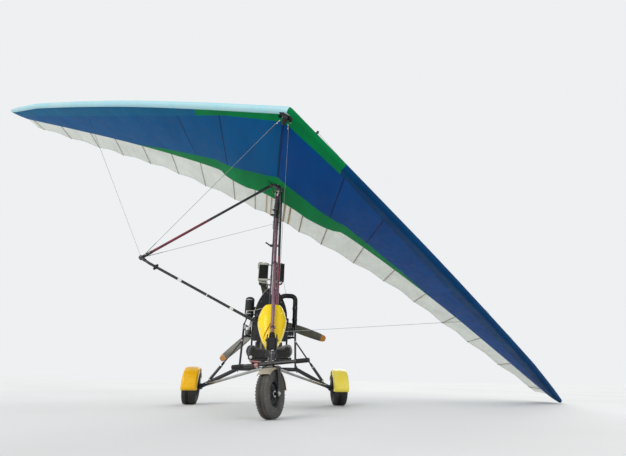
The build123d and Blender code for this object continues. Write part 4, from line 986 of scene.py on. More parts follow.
def make_tyre(frame_at, name, body, node, d, w, rim_d, grooves, depth, lugs, mat):
    b = Build(frame_at)
    b.lathe(tyre_profile(d, w, rim_d, grooves, depth), mat, 96, loop=True)
    r = d / 2
    # Shoulder lugs, alternating from side to side
    for k in range(lugs):
        for side in (-1, 1):
            a = 2 * pi * (k + (0.5 if side > 0 else 0.0)) / lugs
            turn = Matrix.Rotation(a, 4, "X")
            spot = moved(side * w * 0.4, 0, r * 0.952)
            tilt = Matrix.Rotation(side * 0.3, 4, "Y")
            b.box((side * w * 0.4 - w * 0.062, -0.0055, r * 0.925),
                  (side * w * 0.4 + w * 0.062, 0.0055, r * 0.979),
                  mat, 0.002, turn @ spot @ tilt @ spot.inverted(), 1)
    # Raised rings on the side walls
    for side in (-1, 1):
        for share in (0.3, 0.62):
            rr = rim_d / 2 + (r - rim_d / 2) * share
            xx = side * w * (0.47 if share < 0.5 else 0.494)
            ring = [(xx + q * 0.0016, rr + s * 0.0022) for q, s in ((-1, -1), (1, -1), (1, 1), (-1, 1))]
            b.lathe(ring, mat, 72, loop=True)
    return b.piece(name, body, node, slot="tyre", angle=30)


def make_rim(frame_at, name, body, node, w, rim_d, hub_d, bore_r, m):
    b = Build(frame_at)
    r = rim_d / 2 - 0.0004
    edge = w * 0.34
    hub = hub_d / 2
    # Barrel with rolled lips
    outside = mirrored([(edge, r), (edge + 0.0015, r - 0.003), (edge - 0.001, r - 0.0065),
                        (edge * 0.72, r - 0.009), (edge * 0.3, r - 0.0135)])
    inside = mirrored([(-edge * 0.8, r - 0.003), (-edge * 0.35, r - 0.009)])
    b.lathe(outside + inside, m.rim, 72, loop=True)
    # Dished web and hub
    web = [(edge * 0.2, r - 0.0125), (edge * 0.34, r - 0.024), (edge * 0.2, r * 0.62),
           (edge * 0.3, hub + 0.016), (edge * 0.55, hub + 0.004), (edge * 0.98, hub), (edge, hub - 0.003),
           (edge, bore_r)]
    b.lathe(mirrored(web), m.rim, 72, loop=True)
    for side in (-1, 1):
        for a in around(5, 0.25):
            turn = Matrix.Rotation(a, 4, "X")
            rib = []
            for rad, x, half in ((hub + 0.002, 0.72, 0.0105), ((hub + r) / 2, 0.42, 0.008),
                                 (r - 0.013, 0.5, 0.0115)):
                x0 = side * edge * 0.15
                x1 = side * edge * x
                rib.append([(x0, -half, rad), (x1, -half * 0.55, rad), (x1, half * 0.55, rad),
                            (x0, half, rad)])
            b.rings(rib, m.rim, turn)
            bolt_at = Vector((side * edge * 0.33, sin(a + 0.63) * (hub + 0.02),
                              cos(a + 0.63) * (hub + 0.02)))
            b.bolt(bolt_at, (side, 0, 0), 0.0052, m.bright)
        # Bearing cover and its snap ring
        b.lathe([(side * edge, bore_r + 0.001), (side * (edge + 0.0012), bore_r + 0.001),
                 (side * (edge + 0.0012), hub - 0.008), (side * edge, hub - 0.007)], m.bright, 40,
                loop=True)
    # Valve with its cap
    turn = Matrix.Rotation(0.9, 4, "X")
    b.tube([(edge * 0.5, 0, r - 0.012), (edge * 0.9, 0, r - 0.026), (edge * 1.15, 0, r - 0.031)], 0.0038,
           m.rubber, 10, turn)
    b.tube([(edge * 1.15, 0, r - 0.031), (edge * 1.32, 0, r - 0.034)], 0.0032, m.black, 10, turn)
    return b.piece(name, body, node, slot="rim", angle=34)


def build_wheels(m):
    for side, at in (("left", wheel_l), ("right", wheel_r)):
        place = Matrix.Translation(at)
        body = "rear_wheel_" + side
        make_tyre(place, "tyre_tread_" + side, body, "tyre_rear_" + side, d=0.38, w=0.155, rim_d=0.21,
                  grooves=(0.0, 0.12, -0.12, 0.22, -0.22), depth=0.004, lugs=30, mat=m.tyre)
        make_rim(place, "wheel_rim_" + side, body, "rim_rear_" + side, w=0.155, rim_d=0.21,
                 hub_d=0.062, bore_r=0.0101, m=m)
    make_tyre(FORK, "tyre_tread_front", "front_wheel", "tyre_front", d=0.344, w=0.1, rim_d=0.19,
              grooves=(0.0, 0.1, -0.1, 0.19, -0.19, 0.26, -0.26), depth=0.0032, lugs=44, mat=m.tyre_grey)
    make_rim(FORK, "wheel_rim_front", "front_wheel", "rim_front", w=0.1, rim_d=0.19, hub_d=0.062,
             bore_r=0.0081, m=m)


# Mudguards

def channel(b, inner, t, half, drop, corner, start, stop, count, mat, flare=0.0):
    """Open channel over a wheel with rounded shoulders and rolled edges."""
    top = inner + t
    low = inner - drop
    out = [(half + 0.0012, low - 0.002), (half + 0.0016, low), (half, low + 0.006),
           (half, (low + top - corner) / 2)]
    out += arc_points(half - corner, top - corner, corner, 0, 90, 6)
    crown = [((half - corner) * s, top + 0.003 * (1 - s * s)) for s in (0.66, 0.33)]
    right_out = out + crown
    left_out = [(-x, r) for x, r in reversed(right_out)]
    ins = [(x * (1 - t / half) if abs(x) > half - corner * 1.4 else x, r - t) for x, r in crown]
    right_in = [(half - t, low - 0.001), (half - t, (low + top - corner) / 2)]
    right_in += arc_points(half - corner, top - corner, corner - t, 0, 90, 6) + ins
    section = right_out + [(0, top + 0.003)] + left_out + [(-x, r) for x, r in right_in]
    section += [(0, inner + 0.003)] + right_in[::-1]
    rings = []
    for k in range(count + 1):
        deg = start + (stop - start) * k / count
        a = radians(deg)
        edge = min(k, count - k) / count
        tuck = 1.0 - 0.35 * max(0.0, 1.0 - edge / 0.05) ** 2 * flare
        ring = []
        for x, r in section:
            rr = low + (r - low) * tuck
            ring.append((x, -rr * cos(a), rr * sin(a)))
        rings.append(ring)
    b.rings(rings, mat)


def build_mudguards(m):
    # The left spat takes the paler yellow as painted light, and the right spat the deeper yellow as
    # painted shade
    for side, at, key in ((1, wheel_l, "yellow_painted_lit"), (-1, wheel_r, "yellow_painted_shade")):
        name = "left" if side > 0 else "right"
        b = Build(Matrix.Translation(at))
        channel(b, inner=0.206, t=0.003, half=0.0875, drop=0.052, corner=0.026, start=-12, stop=150,
                count=40, mat=getattr(m, key), flare=1.0)
        # Strap to the knuckle, folded at the top, with its screws through the side wall
        x0 = -side * 0.0915
        b.box((x0, -0.016, 0.0), (x0 + side * 0.004, 0.016, 0.186), m.bracket, 0.0015)
        for z in (0.16, 0.178):
            b.bolt((x0 - side * 0.0005, 0, z), (-side, 0, 0), 0.0042, m.bright)
            b.bolt((-side * 0.0845, 0, z), (side, 0, 0), 0.0034, m.bright)
        for y in (-0.075, 0.085):
            b.bolt((0, y, sqrt(0.2115 ** 2 - y * y)), (0, y, 0.2), 0.0042, m.bright)
        b.piece("spat_shell_" + name, "trike", "spat_" + name, slot="yellow_shell", angle=40)
    b = Build(FORK)
    channel(b, inner=0.186, t=0.003, half=0.054, drop=0.009, corner=0.009, start=40, stop=165,
            count=36, mat=m.beige, flare=0.6)
    for y in (-1, 1):
        out = Vector((0, y * cos(radians(62)), sin(radians(62))))
        for x in (-0.03, 0.03):
            b.bolt(Vector((x, 0, 0)) + out * 0.1905, out, 0.004, m.bright)
    b.piece("mudguard_front", "steering", "front_mudguard", slot="mudguard", angle=40)


# Fork details, foot bar, brake and axle hardware

def build_steering(m):
    b = Build(FORK)
    for side in (-1, 1):
        x = side * 0.067
        b.band(x, x + side * 0.002, 0.0002, 0.0165, m.bright, 30, loop=False)
        b.bolt((x + side * 0.002, 0, 0), (side, 0, 0), 0.0105, m.bright)
        # Weld beads where the legs meet the crown and the eye meets the leg
        for y in (-0.026, 0.026):
            b.tube([(side * 0.0585, y * k, 0.191) for k in (0.9, 0.6, 0.2)], 0.0022, m.black, 8)
        bead = [radians(200 + 14 * k) for k in range(11)]
        b.tube([(side * 0.0675, 0.022 * cos(a), 0.022 * sin(a)) for a in bead], 0.0016, m.black, 6)
        # Stiffening rib down each leg
        b.tube([(side * 0.0672, 0, 0.03), (side * 0.0685, 0, 0.06), (side * 0.0685, 0, 0.15),
                (side * 0.0672, 0, 0.185)], 0.005, m.black, 10, flat=0.6)
    # Head bearing cups and lock nut
    for z in (0.2036, 0.2992):
        b.band(z, z + 0.008, 0.015, 0.0235, m.steel_dark, 36, turned(-90, "Y"))
    b.bolt((0, 0, 0.3226), (0, 0, 1), 0.0085, m.bright)
    b.piece("fork_fittings", "steering", slot="black_tube")

    g = Build(FORK)
    y, z = -0.046, 0.2153
    for side in (-1, 1):
        # Ribbed rubber sleeves with a swollen end
        profile = [(side * 0.2305, 0.014), (side * 0.2305, 0.0168)]
        for k in range(20):
            x = 0.233 + k * 0.0047
            profile += [(side * x, 0.0172), (side * (x + 0.0016), 0.0158), (side * (x + 0.0032), 0.0172)]
        profile += [(side * 0.33, 0.0172), (side * 0.3345, 0.015), (side * 0.3352, 0.0001)]
        g.lathe(profile, m.rubber, 32, moved(0, y, z))
    g.tube([(-0.23, y, z), (0.23, y, z)], 0.0141, m.black, 28)
    for x in (-0.03, 0.03):
        g.band(x - 0.009, x + 0.009, 0.0142, 0.0172, m.bracket, 32, moved(0, y, z))
        g.bolt((x, y, z + 0.0165), (0, 0, 1), 0.005, m.bright)
    g.piece("foot_bar_cover", "steering", "foot_bar", slot="black_tube")

    # Bent toe plate on the right half of the bar, with its clamp
    t = Build(FORK)
    plate = []
    for k in range(9):
        u = k / 8
        x = -0.078 - 0.078 * u
        lift = 0.018 + 0.01 * sin(u * pi * 0.5)
        plate.append([(x, y - 0.026 - 0.022 * u, z + lift), (x, y + 0.02 - 0.012 * u, z + lift * 0.62),
                      (x, y + 0.02 - 0.012 * u, z + lift * 0.62 - 0.004),
                      (x, y - 0.026 - 0.022 * u, z + lift - 0.004)])
    t.rings(plate, m.pink_metal)
    t.band(-0.125, -0.095, 0.0143, 0.0185, m.pink_metal, 32, moved(0, y, z))
    t.tube([(-0.11, y, z + 0.016), (-0.11, y - 0.004, z + 0.031)], 0.006, m.pink_metal, 12)
    t.bolt((-0.11, y + 0.003, z - 0.018), (0, 0, -1), 0.005, m.bright)
    t.piece("toe_plate", "steering", slot="hub_metal")


def build_undercarriage(m):
    axle_z, stub_z, knuckle_x, mount_y, beam_z = 0.3875, 0.19, 0.7515, -0.93, 0.435
    b = Build(TRIKE)
    for side in (-1, 1):
        # End plates' bolts, leg collars, knuckle bolts, drag strut ends and shock eyes
        for y in (-0.028, 0.028):
            for z in (axle_z - 0.028, axle_z + 0.028):
                b.bolt((side * 0.35, y, z), (side, 0, 0), 0.0055, m.bright)
        b.band(side * 0.926, side * 0.929, 0.0001, 0.0165, m.bright, 30, moved(0, 0, stub_z), loop=False)
        b.bolt((side * 0.9287, 0, stub_z), (side, 0, 0), 0.0105, m.bright)
        for s in (1, -1):
            b.bolt((side * knuckle_x, 0, stub_z + s * 0.0292), (0, 0, s), 0.0065, m.bright)
        start = Vector((side * 0.02, mount_y, 0.39))
        end = Vector((side * knuckle_x, 0.0, stub_z))
        way = (end - start).normalized()
        for s in (0.03, 0.052):
            c = start + way * (s + 0.012)
            b.cuff(c, way, 0.004, 0.0162, m.bracket, 24)
        for s in (0.06, 0.082):
            c = end - way * s
            b.cuff(c, way, 0.004, 0.016, m.blue, 24)
        b.bolt((side * 0.034, mount_y, 0.4102 - 0.0395), (0, 0, -1), 0.007, m.bright)
        # Shock strut: bellows over the rod, spring seat rings and the end bolts
        foot = Vector((0.3325, 0, axle_z))
        top = Vector((0.3145, 0, 0.912))
        upper = foot + (top - foot) * 0.62
        root = Vector((0.35, 0, axle_z))
        knuckle = Vector((knuckle_x, 0, stub_z))
        lower = root + (knuckle - root) * 0.86
        upper.x *= side
        lower.x *= side
        run = lower - upper
        n = run.normalized()
        length = run.length
        for s in (length - 0.252, length - 0.058):
            c = upper + n * s
            b.cuff(c, n, 0.005, 0.019, m.bright, 28)
        c0 = upper + n * (length - 0.3)
        bell = []
        radii = []
        for k in range(13):
            bell.append(tuple(c0 + n * (0.0036 * k)))
            radii.append(0.015 if k % 2 else 0.0118)
        b.tube(bell, radii, m.rubber, 24)
        b.bolt((upper.x + side * 0.006, -0.0135, upper.z - 0.004), (0, -1, 0), 0.0065, m.bright)
        b.bolt((lower.x, -0.0235, lower.z + 0.004), (0, -1, 0), 0.0065, m.bright)
    # Plugs in the beam's ends, and the bolts through it
    b.box((-0.0222, 0.2135, 0.4128), (0.0222, 0.2185, 0.4572), m.rubber, 0.002)
    for y in (-1.55, -1.02, mount_y, 0.13):
        for s in (1, -1):
            b.bolt((s * 0.0253, y, beam_z), (s, 0, 0), 0.006, m.bright)
    # Brake hose clipped along the beam
    line = [(0.0285, -1.5, 0.418), (0.0285, -1.2, 0.415), (0.0288, -0.9, 0.417), (0.0285, -0.5, 0.414),
            (0.0286, -0.2, 0.417)]
    b.hose(line, 8, 0.0028, m.hose, 10)
    for y in (-1.4, -1.1, -0.8, -0.5, -0.25):
        b.tube([(0.0262, y, 0.4165), (0.03, y, 0.4205), (0.032, y, 0.4165), (0.03, y, 0.4125),
                (0.0262, y, 0.4165)], 0.0011, m.rubber, 6)
    b.piece("gear_fittings", "trike", slot="hub_metal")


# Soft goods

def bake(obj):
    """Replaces a piece's mesh by what its modifiers give."""
    shot = bpy.data.meshes.new_from_object(obj.evaluated_get(bpy.context.evaluated_depsgraph_get()))
    obj.modifiers.clear()
    obj.data = shot


def swell(obj, voxel, cap, floor=None):
    """Padded fabric: even mesh, inflated as cloth, held to a few millimetres, then smoothed."""
    mats = list(obj.data.materials)
    mod = obj.modifiers.new("even", "REMESH")
    mod.mode = "VOXEL"
    mod.voxel_size = voxel * 1.0
    bake(obj)
    start = [v.co.copy() for v in obj.data.vertices]
    cloth = obj.modifiers.new("cloth", "CLOTH")
    s = cloth.settings
    s.quality = 4
    s.mass = 0.25
    s.use_pressure = True
    s.uniform_pressure_force = 4.0
    s.tension_stiffness = 12.0
    s.compression_stiffness = 12.0
    s.bending_stiffness = 0.4
    s.effector_weights.gravity = 0.0
    for f in range(1, 21):
        scene.frame_set(f)
    bake(obj)
    scene.frame_set(1)
    for v, old in zip(obj.data.vertices, start):
        move = v.co - old
        if move.length > cap:
            v.co = old + move.normalized() * cap
        if floor is not None:
            v.co.z = max(v.co.z, floor)
    sub = obj.modifiers.new("smooth", "SUBSURF")
    sub.levels = 1
    bake(obj)
    obj.data.materials.clear()
    for mat in mats:
        obj.data.materials.append(mat)
    for p in obj.data.polygons:
        p.use_smooth = True


def nearest(obj, points, lift=0.0):
    """The same points, laid on a piece's surface."""
    out = []
    inverse = obj.matrix_world.inverted()
    for p in points:
        hit, spot, normal, _ = obj.closest_point_on_mesh(inverse @ Vector(p))
        out.append(obj.matrix_world @ (spot + normal * lift))
    return out


def stitch(b, obj, frame_at, line, lift, per, r, mat, sides=10):
    """Piping or a seam laid on a padded piece, its line given in a frame."""
    points = nearest(obj, [frame_at @ Vector(p) for p in line], lift)
    b.hose(points, per, r, mat, sides)


PAD_Y = -0.0235


def pad_rings(rows, count):
    """Rounded-square sections of an upright pad, from height, half width and thickness."""
    out = []
    for z, half, t in rows:
        ring = []
        for a in around(count):
            c, s = cos(a), sin(a)
            ring.append((half * abs(c) ** 0.5 * (1 if c > 0 else -1),
                         PAD_Y + t / 2 * abs(s) ** 0.6 * (1 if s > 0 else -1), z))
        out.append(ring)
    return out


def build_seats(m):
    # Base cushion: a low middle between two bolsters
    b = Build(TRIKE)
    base = 0.4835
    sections = []
    for y, shrink, rise in ((-0.852, 0.055, -0.02), (-0.846, 0.028, -0.008), (-0.825, 0.01, 0.0),
                            (-0.72, 0.004, 0.002), (-0.63, 0.004, -0.001), (-0.52, 0.006, 0.001),
                            (-0.435, 0.012, -0.002), (-0.412, 0.03, -0.012), (-0.406, 0.055, -0.024)):
        half = 0.232 - shrink
        top = 0.594 + rise - shrink * 0.3
        mid = 0.56 + rise * 0.6 - shrink * 0.3
        right = [(0.0, mid), (0.09, mid + 0.001), (0.14, mid + 0.006), (0.158, top - 0.008), (0.18, top),
                 (0.205, top - 0.004), (half - 0.006, top - 0.028), (half, top - 0.058),
                 (half - 0.008, base + 0.022), (half - 0.03, base + 0.003), (0.1, base), (0.0, base)]
        left = [(-x, z) for x, z in reversed(right[1:-1])]
        sections.append([(x, y, z) for x, z in right + left])
    b.rings(sections, m.cloth)
    seat = b.piece("seat_pad", "trike", "seat_cushion", slot="seat_cloth", angle=180)
    swell(seat, voxel=0.006, cap=0.01, floor=TRIKE.translation.z + 0.4826)
    trim = Build(Matrix.Identity(4))
    for side in (-1, 1):
        outer = [(side * 0.222, y, 0.575) for y in (-0.83, -0.76, -0.68, -0.6, -0.52, -0.44)]
        inner = [(side * 0.146, y, 0.575) for y in (-0.845, -0.78, -0.7, -0.62, -0.54, -0.46, -0.42)]
        for line in (outer, inner):
            stitch(trim, seat, TRIKE, line, 0.0008, 5, 0.0026, m.piping, 10)
        low = [(side * 0.228, y, 0.515) for y in (-0.83, -0.72, -0.6, -0.48, -0.42)]
        stitch(trim, seat, TRIKE, low, 0.0006, 5, 0.0022, m.piping, 10)
    for y in (-0.745, -0.63, -0.515):
        cross = [(x, y, 0.6) for x in (-0.135, -0.09, -0.045, 0, 0.045, 0.09, 0.135)]
        stitch(trim, seat, TRIKE, cross, 0.0, 4, 0.0016, m.thread, 8)
    across = (-0.215, -0.17, -0.12, -0.06, 0, 0.06, 0.12, 0.17, 0.215)
    front = [(x, -0.88, 0.545 if abs(x) < 0.14 else 0.565) for x in across]
    stitch(trim, seat, TRIKE, front, 0.0006, 4, 0.0024, m.piping, 10)
    trim.piece("seat_pad_trim", "trike", slot="seat_cloth")

    # Back and headrest, lying on the leaning rails
    lean = atan(MAST_RUN)
    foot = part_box("seat_back")
    back_y = foot[1][1] - TRIKE.translation.y
    stand = moved(0, back_y, 0.69) @ Matrix.Rotation(lean, 4, "X")
    place = TRIKE @ stand
    n = Build(place)
    rows = ((0.004, 0.196, 0.03), (0.012, 0.204, 0.038), (0.05, 0.207, 0.042), (0.12, 0.207, 0.043),
            (0.19, 0.205, 0.042), (0.232, 0.196, 0.041), (0.262, 0.16, 0.04), (0.282, 0.126, 0.038),
            (0.288, 0.112, 0.028))
    n.rings(pad_rings(rows, 32), m.cloth)
    back = n.piece("seat_back_pad", "trike", "seat_back", slot="seat_cloth", angle=180)
    swell(back, voxel=0.006, cap=0.008)
    h = Build(place)
    rows = ((0.297, 0.024, 0.03), (0.305, 0.03, 0.038), (0.34, 0.032, 0.041), (0.42, 0.032, 0.041),
            (0.5, 0.031, 0.04), (0.535, 0.026, 0.038), (0.552, 0.017, 0.028))
    h.rings(pad_rings(rows, 24), m.cloth)
    head = h.piece("headrest_pad", "trike", slot="seat_cloth", angle=180)
    swell(head, voxel=0.005, cap=0.004)
    t = Build(Matrix.Identity(4))
    edge = [(-0.198, -0.05, 0.02), (-0.205, -0.05, 0.12), (-0.2, -0.05, 0.21), (-0.155, -0.05, 0.262),
            (-0.1, -0.05, 0.285), (0.0, -0.05, 0.288), (0.1, -0.05, 0.285), (0.155, -0.05, 0.262),
            (0.2, -0.05, 0.21), (0.205, -0.05, 0.12), (0.198, -0.05, 0.02)]
    stitch(t, back, place, edge, 0.0006, 5, 0.0024, m.piping, 10)
    for x in (-0.11, 0.11):
        seam = [(x, -0.06, z) for z in (0.02, 0.08, 0.14, 0.2, 0.25)]
        stitch(t, back, place, seam, 0.0, 4, 0.0016, m.thread, 8)
    for z in (0.09, 0.18):
        seam = [(x, -0.06, z) for x in (-0.105, -0.05, 0, 0.05, 0.105)]
        stitch(t, back, place, seam, 0.0, 4, 0.0016, m.thread, 8)
    t.piece("seat_back_trim", "trike", slot="seat_cloth")

    # Lap straps: flat webbing over the pad with a buckle
    s = Build(TRIKE)
    for side in (-1, 1):
        pts = [(side * 0.214, -0.47, 0.505), (side * 0.238, -0.48, 0.56), (side * 0.215, -0.5, 0.612),
               (side * 0.16, -0.52, 0.604), (side * 0.1, -0.54, 0.58), (side * 0.028, -0.55, 0.578)]
        line = smooth_path(pts, 6)
        s.tube(line, 0.021, m.strap, 10, flat=0.07)
    s.box((-0.03, -0.572, 0.5785), (0.03, -0.528, 0.59), m.bright, 0.003)
    s.box((-0.014, -0.562, 0.589), (0.014, -0.538, 0.593), m.tag_red, 0.002)
    s.piece("lap_straps", "trike", slot="seat_cloth")


def build_panel(m):
    """Sheet behind the seat, with a smooth edge, piping and a ring bolt."""
    face_y = -0.1588
    outline = [(0.058, 0.976), (0.058, 0.765), (0.1, 0.765), (0.1, 0.94), (0.15, 0.948), (0.188, 0.964),
               (0.196, 1.0), (0.19, 1.05), (0.177, 1.102), (0.158, 1.15), (0.136, 1.197), (0.112, 1.24),
               (0.088, 1.276), (0.062, 1.305), (0.036, 1.325), (0.014, 1.334), (0.0, 1.336)]
    full = outline + [(-x, z) for x, z in reversed(outline[:-1])]
    b = Build(TRIKE)
    mid_z = 1.1
    front = []
    for y, k in ((-0.1516, 1.0), (-0.1546, 1.004), (-0.1578, 1.0), (-0.1586, 0.985)):
        front.append([(x * k, y, mid_z + (z - mid_z) * k) for x, z in full])
    b.rings(front, m.panel)
    slope = [(-0.196, -0.16, 1.0), (-0.19, -0.1605, 1.052), (-0.16, -0.161, 1.15),
             (-0.112, -0.161, 1.243), (-0.062, -0.161, 1.308), (-0.02, -0.1605, 1.331),
             (0.0, -0.16, 1.337)]
    b.hose(slope, 6, 0.0042, m.piping_grey, 12)
    other = [(-x, y, z) for x, y, z in slope]
    b.hose(other, 6, 0.003, m.rubber, 12)
    # Ring bolt and washers, tab bolts
    ring_at = moved(-0.012, -0.1595, 1.226) @ turned(90, "Z") @ Matrix.Rotation(pi, 4, "Z")
    b.lathe([(0, 0.0105), (0.003, 0.0155), (0.0065, 0.0155), (0.0075, 0.0105), (0.0065, 0.0062),
             (0.001, 0.0062)], m.grey_metal, 36, ring_at, loop=True)
    for x in (-0.079, 0.079):
        b.bolt((x, face_y, 0.782), (0, -1, 0), 0.005, m.bright)
        b.bolt((x, face_y, 0.81), (0, -1, 0), 0.005, m.bright)
    for x, z in ((-0.165, 1.0), (0.165, 1.0), (-0.12, 1.16), (0.12, 1.16), (-0.05, 1.27), (0.05, 1.27)):
        b.bolt((x, face_y, z), (0, -1, 0), 0.0036, m.grey_metal)
    b.piece("panel_behind_seat", "trike", "back_panel", slot="panel_sheet", angle=35)


# Pod sections: height, half width, prow y, widest y, rear edge y
POD = (
    (0.512, 0.026, -1.236, -1.170, -1.060),
    (0.556, 0.061, -1.243, -1.144, -0.986),
    (0.610, 0.092, -1.244, -1.120, -0.930),
    (0.700, 0.123, -1.220, -1.080, -0.896),
    (0.780, 0.140, -1.186, -1.050, -0.884),
    (0.846, 0.134, -1.160, -1.042, -0.910),
    (0.900, 0.116, -1.136, -1.040, -0.958),
    (0.938, 0.096, -1.121, -1.044, -0.980),
    (0.962, 0.072, -1.110, -1.050, -0.992),
)
# Outline of a section: share of the half width, share of the way from prow to widest
POD_SIDE = ((0.0, 0.012), (0.18, 0.022), (0.36, 0.058), (0.52, 0.115), (0.67, 0.21), (0.79, 0.345),
            (0.88, 0.49), (0.945, 0.655), (0.985, 0.83), (1.0, 1.0))


def pod_ring(z, inset):
    row = table_row(POD, z)
    half, prow, wide, rear = row[1] - inset, row[2] + 1.5 * inset, row[3], row[4]
    right = [(x * half, prow + (wide - prow) * y) for x, y in POD_SIDE]
    for k in range(1, 6):
        u = k / 5
        right.append((half * (1.0 - 0.14 * u ** 1.6), wide + (rear - wide) * u))
    return [(x, y, z) for x, y in right], [(-x, y, z) for x, y in right[1:]]


def build_pod(m):
    b = Build(TRIKE)
    zs = [0.5125, 0.518, 0.528, 0.542]
    zs += [0.56 + 0.0195 * k for k in range(20)]
    zs += [0.944, 0.952, 0.958, 0.9615]
    outer = []
    inner = []
    for z in zs:
        right, left = pod_ring(z, 0.0 if z > 0.52 else 0.003)
        outer.append(left[::-1] + right)
        right, left = pod_ring(z, 0.0042)
        inner.append(left[::-1] + right)
    n = len(outer[0])
    rows = outer + inner[::-1]
    verts = [p for ring in rows for p in ring]
    faces = []
    for i in range(len(rows)):
        j = (i + 1) % len(rows)
        for k in range(n - 1):
            faces.append((i * n + k, i * n + k + 1, j * n + k + 1, j * n + k))
    for i in range(len(outer) - 1):
        a, c = i, len(rows) - 1 - i
        for k in (0, n - 1):
            faces.append((a * n + k, (a + 1) * n + k, (c - 1) * n + k, c * n + k))
    b.add(verts, faces, m.yellow)
    # Closed top and floor, a little crowned
    for z, lift in ((0.96, 0.004), (0.5135, -0.002)):
        right, left = pod_ring(z, 0.002)
        ring = left[::-1] + right
        mid = (0.0, sum(p[1] for p in ring) / len(ring), z + lift)
        verts = ring + [mid]
        b.add(verts, [(k, (k + 1) % len(ring), len(ring)) for k in range(len(ring))], m.yellow)
    # Rolled rear edge
    for side in (0, -1):
        edge = []
        for z in zs[2:-2]:
            right, left = pod_ring(z, 0.002)
            edge.append(left[-1] if side else right[-1])
        b.tube(edge, 0.0042, m.yellow, 12)

    def skin(x, z, out=0.0):
        """Point on the pod's skin, or a little ahead of it."""
        row = table_row(POD, z)
        half, prow, wide = row[1], row[2], row[3]
        u = min(abs(x) / half, 0.999)
        return (x, prow + (wide - prow) * straight(POD_SIDE, u) - out, z)

    # Moulded fold from the prow down to the lower right, coloured amber as painted shade along the crease
    fold = [skin(-0.006, 0.795, -0.002), skin(-0.018, 0.77, 0.001), skin(-0.038, 0.728, 0.003),
            skin(-0.056, 0.69, 0.003), skin(-0.07, 0.655, 0.002), skin(-0.076, 0.625, -0.001)]
    b.hose(fold, 6, [0.002 + 0.0052 * sin(pi * k / 30) for k in range(31)], m.amber, 14, flat=0.7)
    # Amber line just right of the prow: painted shadow of the front strut
    strut_shadow_line = ((0.004, 0.93), (0.005, 0.85), (0.005, 0.76), (0.004, 0.68), (0.002, 0.6), (0.0, 0.53))
    seam = [skin(x, z, 0.0012) for x, z in strut_shadow_line]
    b.hose(seam, 6, 0.0018, m.amber, 8)
    for x, z in ((-0.085, 0.875), (0.085, 0.875), (-0.108, 0.72), (0.108, 0.72), (-0.06, 0.58),
                 (0.06, 0.58)):
        p = skin(x, z, 0.0)
        b.bolt(p, (x * 4, -1, 0), 0.0042, m.bright)
    # Foot with its two screws
    b.box((-0.0215, -1.205, 0.4602), (0.0215, -1.0805, 0.545), m.bracket, 0.003)
    for y in (-1.18, -1.11):
        for side in (-1, 1):
            b.bolt((side * 0.0216, y, 0.475), (side, 0, 0), 0.0048, m.bright)
    b.piece("nose_pod", "trike", "pod", slot="yellow_shell", angle=50)


# Power unit

def bent_path(a, corner, c, r, n=8):
    """Points of a rounded corner between two straight runs."""
    a, corner, c = Vector(a), Vector(corner), Vector(c)
    u = (a - corner).normalized()
    v = (c - corner).normalized()
    p, q = corner + u * r, corner + v * r
    out = []
    for k in range(n + 1):
        t = k / n
        out.append(tuple(p * (1 - t) ** 2 + corner * 2 * t * (1 - t) + q * t * t))
    return out


def clamp(b, place, way, r, m, wide=0.009):
    """Hose clip: band and screw housing."""
    way = Vector(way).normalized()
    c = Vector(place)
    b.cuff(c, way, wide / 2, r + 0.0009, m.bright, 24)
    side = way.orthogonal().normalized()
    s = c + side * (r + 0.003)
    across = way.cross(side)
    b.cuff(s, across, 0.007, 0.0032, m.bright, 8)


def build_exhaust(m):
    b = Build(TRIKE)
    r = 0.03
    px, py, top = 0.312, 0.06, 1.284
    port = (0.052, py, 1.1766)
    rise = (0.15, py, top)
    turn = (px, py, top)
    end = (px, py, 0.85)
    line = [port, (0.075, py, 1.2018), (0.1, py, 1.2292)] + bent_path(port, rise, turn, 0.04)
    line += [(0.215, py, top)] + bent_path(rise, turn, end, 0.066, 12)
    line += [(px, py, 1.15), (px, py, 1.05), (px, py, 0.95), (px, py, 0.8515)]
    b.tube(line, r, m.pipe, 36, caps=False)
    b.tube([(px, py, 0.8515), (px, py, 0.95), (px, py, 1.0)], r - 0.0025, m.pipe, 36, caps=False)
    # Open end with a rolled lip, joints, welds and springs
    b.lathe([(0, r - 0.003), (-0.0012, r - 0.0012), (0, r + 0.0006), (0.004, r + 0.0006),
             (0.004, r - 0.003)], m.pipe, 40, upright(px, py, 0.8512), loop=True)
    for z in (1.125, 0.985):
        b.band(-0.01, 0.01, r + 0.0002, r + 0.0022, m.pipe, 40, moved(px, py, z) @ turned(90, "Y"))
        for a in (0.6, 2.7, 4.8):
            coil = []
            for k in range(61):
                t = k / 60
                w = t * 2 * pi * 9
                cx = px + (r + 0.0065) * cos(a)
                cy = py + (r + 0.0065) * sin(a)
                coil.append((cx + 0.0028 * cos(w), cy + 0.0028 * sin(w), z - 0.018 + 0.036 * t))
            b.tube(coil, 0.0008, m.bright, 5)
    b.band(-0.006, 0.0, r, r + 0.012, m.pipe, 40, moved(0.0705, py, 1.1967) @ turned(-47.6, "Y"))
    for y in (0.0245, 0.0955):
        b.bolt((0.0705, y, 1.1967), (0.67, 0, 0.74), 0.005, m.bright)
    # Clamp to the frame's post
    zc = 0.876
    b.band(-0.012, 0.012, r + 0.0003, r + 0.003, m.bracket, 40, moved(px, py, zc) @ turned(90, "Y"))
    b.box((0.3075, 0.0135, zc - 0.012), (0.3245, 0.03, zc + 0.012), m.bracket, 0.002)
    b.bolt((0.325, 0.022, zc), (1, 0, 0), 0.0048, m.bright)
    b.piece("exhaust_pipe", "trike", "exhaust", slot="exhaust_steel", angle=40)


